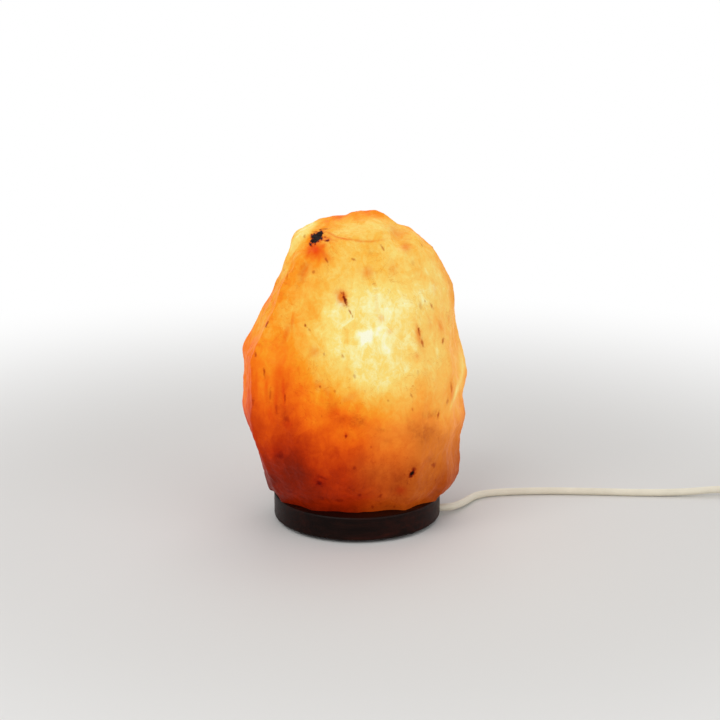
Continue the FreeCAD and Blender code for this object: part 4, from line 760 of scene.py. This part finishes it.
GLOW_MARKS = (
    (366.0, 338.0, 34.0, 34.0, 0, 0.06),
    (380.0, 226.0, 60.0, 22.0, 0, 0.07), (315.0, 250.0, 15.0, 20.0, 0, -0.10), (299.0, 238.0, 12.0, 24.0, -35, 0.20),
    (310.0, 225.0, 22.0, 9.0, 25, 0.18), (304.0, 280.0, 20.0, 34.0, -15, -0.04),
    (372.0, 268.0, 40.0, 30.0, 0, -0.06), (284.0, 268.0, 10.0, 36.0, -25, 0.10),
    (262.0, 345.0, 34.0, 50.0, 0, 0.11), (455.0, 430.0, 16.0, 70.0, 0, 0.09),
    (296.0, 452.0, 20.0, 34.0, 0, -0.10), (346.0, 420.0, 26.0, 12.0, -15, -0.08),
    (365.0, 505.0, 80.0, 26.0, 0, 0.10), (400.0, 390.0, 60.0, 34.0, 0, 0.06),
    (244.0, 396.0, 6.0, 44.0, 0, 0.10), (462.0, 360.0, 6.0, 44.0, 0, 0.06),
    (427.0, 330.0, 20.0, 34.0, 0, -0.05), (282.0, 398.0, 14.0, 40.0, 0, -0.05), (266.0, 400.0, 12.0, 50.0, 0, 0.05),
    (342.0, 362.0, 44.0, 44.0, 0, 0.07), (405.0, 470.0, 60.0, 40.0, 0, 0.045), (424.0, 500.0, 34.0, 16.0, 14, 0.06),
    (384.0, 424.0, 46.0, 24.0, 0, 0.03), (326.0, 466.0, 16.0, 22.0, 0, 0.06),
    (345.0, 304.0, 16.0, 24.0, 0, 0.05),
    (452.0, 372.0, 10.0, 50.0, 0, -0.06), (453.0, 330.0, 7.0, 60.0, 0, -0.06),
    (282.0, 336.0, 26.0, 26.0, 0, -0.04), (300.0, 300.0, 30.0, 60.0, 0, 0.02),
    (456.0, 392.0, 2.5, 26.0, -20, 0.14),
)
STEP_MARKS = (
    # faces of the rock that are a little darker or lighter than those beside them
    (288.0, 472.0, 36.0, 26.0, -4, -0.05), (262.0, 452.0, 16.0, 26.0, -12, 0.03),
    (302.0, 282.0, 16.0, 38.0, -14, 0.025),
    (272.0, 322.0, 20.0, 30.0, -30, 0.03), (440.0, 290.0, 13.0, 44.0, 14, 0.025),
    (430.0, 440.0, 24.0, 18.0, 10, -0.02), (390.0, 455.0, 26.0, 24.0, -10, 0.02),
    (330.0, 330.0, 15.0, 34.0, 18, 0.025), (400.0, 262.0, 22.0, 24.0, 6, 0.02),
    (340.0, 440.0, 30.0, 14.0, 14, 0.025), (312.0, 414.0, 20.0, 24.0, 20, 0.025),
)
FACET_EDGE = (
    # points of the painted crease shade along the top facet's front edge: pixel, and how strong it is from there on
    (322.0, 230.6, 0.5), (329.0, 233.0, 0.6), (336.0, 236.8, 0.7), (346.8, 239.4, 0.62),
    (361.2, 241.4, 0.5), (373.0, 241.4, 0.3), (384.0, 239.6, 0.2), (396.0, 238.6, 0.35),
    (410.0, 239.4, 0.0),
)
LOOSE_MARKS = (
    # kind, groups, marks in each, how far it spreads in millimetres,
    # least and most width in millimetres, least and most strength
    ("dark", 3, 7, 3.5, 1.0, 5.0, 0.7, 1.7),
    ("dark", 9, 4, 9.0, 0.9, 2.8, 0.3, 0.8),
    ("dark", 26, 1, 0.0, 0.8, 2.4, 0.25, 0.6),
    ("stain", 14, 3, 9.0, 3.0, 13.0, 0.3, 1.0),
    ("stain", 10, 2, 7.0, 2.0, 5.0, 0.3, 0.8),
    ("haze", 9, 3, 9.0, 5.0, 14.0, 0.2, 0.6),
)
LOOSE_SEED = 11


class Mark:
    """A patch in the salt: its place, its two directions, its half sizes and its strength."""

    def __init__(self, centre, across, upward, width, height, strength):
        self.centre, self.strength = np.array(centre), strength
        self.across, self.upward = np.array(across), np.array(upward)
        self.half = width * MM / 2, height * MM / 2

    def cover(self, points, wobble, ragged, power):
        """How strongly it covers each point, fading over a ragged rim: slowly at power 2."""
        offset = points - self.centre
        reach = 2.2 * max(self.half)
        near = np.flatnonzero((np.abs(offset) < reach).all(axis=1))
        offset = offset[near]
        out = np.hypot(offset @ self.across / self.half[0], offset @ self.upward / self.half[1])
        result = np.zeros(len(points))
        result[near] = self.strength * np.exp(-(out * (1 + ragged * wobble[near])) ** power)
        return result


def seen_marks(table, tree):
    """The marks of a table, each laid where the camera's ray through its pixel meets salt."""
    marks = []
    for x, y, width, height, turn, strength in table:
        hit = tree.ray_cast(SCENE.camera.location, pixel_ray(x, y))[0]
        if hit is not None:
            angle = math.radians(turn)
            marks.append(Mark(hit, VIEW_RIGHT * math.cos(angle) + VIEW_UP * math.sin(angle),
                              VIEW_UP * math.cos(angle) - VIEW_RIGHT * math.sin(angle),
                              width, height, strength))
    return marks


def loose_marks(points, normals, tree):
    """Marks of the same kinds for the sides that the photograph doesn't show."""
    draw = np.random.default_rng(LOOSE_SEED)
    unseen = np.flatnonzero((normals[:, 1] > 0.05) & (points[:, 2] > 0.022))
    result = {"dark": [], "stain": [], "haze": []}
    for kind, groups, members, spread, least, most, low, high in LOOSE_MARKS:
        for index in draw.choice(unseen, groups, replace=False):
            for _ in range(members):
                place = Vector(points[index] + draw.normal(0.0, 1.0, 3) * spread * MM)
                spot, normal = tree.find_nearest(place)[:2]
                across = normal.cross(Vector((0.2, 0.1, 1.0))).normalized()
                across = Matrix.Rotation(draw.normal(0.0, 0.35), 3, normal) @ across
                size = least + (most - least) * draw.random() ** 2
                result[kind].append(Mark(spot, across, normal.cross(across), size,
                                         size * draw.uniform(1.0, 2.4), draw.uniform(low, high)))
    return result


def covered(marks, points, wobble, ragged, power, add=False):
    total = np.zeros(len(points))
    for mark in marks:
        cover = mark.cover(points, wobble, ragged, power)
        total = total + cover if add else np.maximum(total, cover)
    return total


def crease_shade_line(points, wobble, tree):
    """The thin darker line painted along the front edge of the top facet: painted shade on the crease."""
    total = np.zeros(len(points))
    hits = [tree.ray_cast(SCENE.camera.location, pixel_ray(x, y))[0] for x, y, _ in FACET_EDGE]
    spots = [(np.array(hit), strength) for hit, (_, _, strength) in zip(hits, FACET_EDGE) if hit]
    for (start, strength), (end, _) in zip(spots, spots[1:]):
        way = end - start
        share = np.clip((points - start) @ way / (way @ way), 0, 1)
        out = np.linalg.norm(points - start - share[:, None] * way, axis=1) / (0.9 * MM)
        total = np.maximum(total, strength * np.exp(-(out * (1 + 0.5 * wobble)) ** 2))
    return total


def refine(mesh, marks):
    """Smaller faces where a small dark mark needs them."""
    shape = bmesh.new()
    shape.from_mesh(mesh)
    middles = np.array([face.calc_center_median() for face in shape.faces])
    chosen = np.zeros(len(middles), bool)
    for mark in marks:
        chosen |= np.linalg.norm(middles - mark.centre, axis=1) < 1.6 * max(mark.half)
    shape.faces.ensure_lookup_table()
    edges = {edge for index in np.flatnonzero(chosen) for edge in shape.faces[index].edges}
    bmesh.ops.subdivide_edges(shape, edges=list(edges), cuts=1, use_grid_fill=True)
    shape.to_mesh(mesh)
    shape.free()


def glow_level(points):
    """How bright the lamp inside makes each point: 1 is nearly white, 0 is the darkest red."""
    x, y, z = (points - GLOW_CENTRE).T
    across, along, up, down = GLOW_STRETCH
    z = z * np.where(z > 0, up, down)
    return GLOW_TOP - GLOW_SLOPE * np.sqrt((x * across) ** 2 + (y * along) ** 2 + z ** 2)


def capped(level):
    room = GLOW_CAP - GLOW_KNEE
    over = np.maximum(level - GLOW_KNEE, 0)
    return np.minimum(level, GLOW_KNEE) + room * (1 - np.exp(-over / room))


def set_attribute(mesh, name, values):
    attribute = mesh.attributes.new(name, "FLOAT", "POINT")
    attribute.data.foreach_set("value", np.asarray(values, np.float32))


def vertex_arrays(mesh):
    points = np.empty(len(mesh.vertices) * 3)
    mesh.vertices.foreach_get("co", points)
    normals = np.empty(len(mesh.vertices) * 3)
    mesh.vertices.foreach_get("normal", normals)
    return points.reshape(-1, 3), normals.reshape(-1, 3)


def make_rock(finishes):
    low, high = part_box("salt_crystal")
    seat = low.z
    mesh = rock_blank(seat)
    points, normals = vertex_arrays(mesh)
    relief = rock_relief(points) + swelling(points, mesh)
    points = points + normals * relief[:, None]
    shown = points[points[:, 2] > seat]
    least, most = shown.min(0), shown.max(0)
    for axis in (0, 1):
        grow = (high[axis] - low[axis]) / (most[axis] - least[axis])
        points[:, axis] = low[axis] + (points[:, axis] - least[axis]) * grow
    points[:, 2] = seat + (points[:, 2] - seat) * (high.z - seat) / (most[2] - seat)
    mesh.vertices.foreach_set("co", points.ravel())
    mesh.update()
    mesh = cut_rock(mesh, seat)
    mesh.name = "crystal"
    points, normals = vertex_arrays(mesh)
    tree = BVHTree.FromPolygons([Vector(p) for p in points],
                                [tuple(face.vertices) for face in mesh.polygons])
    loose = loose_marks(points, normals, tree)
    dark = seen_marks(DARK_MARKS, tree) + loose["dark"]
    stain = seen_marks(STAIN_MARKS, tree) + loose["stain"]
    haze = seen_marks(HAZE_MARKS, tree) + loose["haze"]
    refine(mesh, dark)
    points, normals = vertex_arrays(mesh)
    fine = each_point(points, lambda p: noise.fractal(p / 0.0016, 0.9, 2.0, 3))
    broad = each_point(points, lambda p: noise.fractal(p / 0.0055, 0.9, 2.0, 3))
    set_attribute(mesh, "dark", covered(dark, points, fine, 0.55, 3))
    # The stain attribute carries the real stains and also the painted shade on the crease along the top facet's
    # front edge.
    set_attribute(mesh, "stain", np.maximum(covered(stain, points, broad, 0.35, 2),
                                            crease_shade_line(points, fine, tree)))
    set_attribute(mesh, "haze", covered(haze, points, broad, 0.6, 2))
    level = glow_level(points) + covered(seen_marks(GLOW_MARKS, tree), points, broad, 0.15, 2,
                                         add=True)
    level = capped(level) + covered(seen_marks(STEP_MARKS, tree), points, broad, 0.25, 8, add=True)
    # The last term raises the glow on the raised parts of the relief and lowers it in the hollows: painted light on
    # the ridges and painted shade in the hollows.
    set_attribute(mesh, "level", level
                  + covered(seen_marks(HOT_MARKS, tree), points, broad, 0.2, 2, add=True)
                  + 0.04 * np.clip(rock_relief(points) / (1.6 * MM), -1, 1))
    mesh.shade_smooth()
    mesh.set_sharp_from_angle(angle=math.radians(55))
    return add_piece("crystal", mesh, "lamp_body", finishes, "rock_salt", "salt_crystal")


# ---- surroundings ----


def make_floor():
    """A pale floor that turns white for the camera away from the lamp."""
    mesh = bpy.data.meshes.new("floor")
    half = 12.0
    mesh.from_pydata([(-half, -half, 0), (half, -half, 0), (half, half, 0), (-half, half, 0)], [],
                     [(0, 1, 2, 3)])
    floor = bpy.data.objects.new("floor", mesh)
    SCENE.collection.objects.link(floor)
    pale = Finish("floor", (222, 221, 219), Roughness=0.9, Specular_IOR_Level=0.1)
    output = pale.nodes["Material Output"]
    away = pale.add("VectorMath", {0: pale.place}, operation="LENGTH").outputs["Value"]
    path = pale.add("LightPath").outputs
    seen = pale.math("ADD", path["Is Camera Ray"], path["Is Glossy Ray"])
    seen = pale.math("MINIMUM", pale.math("ADD", seen, path["Is Transmission Ray"]), 1.0)
    share = pale.math("MULTIPLY", seen, pale.ranged(away, 0.22, 0.70, smooth=True))
    white = pale.add("Emission", {"Color": (1, 1, 1, 1), "Strength": 1.0}).outputs[0]
    mix = pale.add("MixShader", {0: share, 1: pale.shader.outputs[0], 2: white}).outputs[0]
    pale.links.new(mix, output.inputs["Surface"])
    mesh.materials.append(pale.material)


def make_sky():
    world = bpy.data.worlds.new("studio")
    SCENE.world = world
    world.use_nodes = True
    nodes, links = world.node_tree.nodes, world.node_tree.links
    path = nodes.new("ShaderNodeLightPath")
    first = nodes.new("ShaderNodeMath")
    first.operation = "MAXIMUM"
    links.new(path.outputs["Is Camera Ray"], first.inputs[0])
    links.new(path.outputs["Is Glossy Ray"], first.inputs[1])
    second = nodes.new("ShaderNodeMath")
    second.operation = "MAXIMUM"
    links.new(first.outputs[0], second.inputs[0])
    links.new(path.outputs["Is Transmission Ray"], second.inputs[1])
    level = nodes.new("ShaderNodeMapRange")
    level.inputs["To Min"].default_value = SKY_LIGHT
    level.inputs["To Max"].default_value = 1.0
    links.new(second.outputs[0], level.inputs["Value"])
    sky = nodes["Background"]
    sky.inputs["Color"].default_value = (1, 1, 1, 1)
    links.new(level.outputs[0], sky.inputs["Strength"])


SKY_LIGHT = 0.55
LIGHTS = (
    # name, azimuth, elevation, size, power
    ("key", -38, 42, 1.4, 15.0),
    ("fill", 48, 25, 1.6, 7.0),
    ("back", 170, 50, 1.4, 7.0),
)
LIGHT_DISTANCE = 2.0


def make_lights():
    for name, azimuth, elevation, size, power in LIGHTS:
        data = bpy.data.lights.new(name, "AREA")
        data.size, data.energy = size, power
        light = bpy.data.objects.new(name, data)
        SCENE.collection.objects.link(light)
        a, e = math.radians(azimuth), math.radians(elevation)
        back = Vector((math.sin(a) * math.cos(e), -math.cos(a) * math.cos(e), math.sin(e)))
        light.location = VIEW_TARGET + back * LIGHT_DISTANCE
        light.rotation_euler = (-back).to_track_quat("-Z", "Y").to_euler()


SCENE.view_settings.view_transform = "Standard"
make_camera()
finishes = make_finishes()
finish_nodes(finishes)
make_cords(finishes)
make_bulb_cap(finishes)
make_rock(finishes)
make_floor()
make_sky()
make_lights()
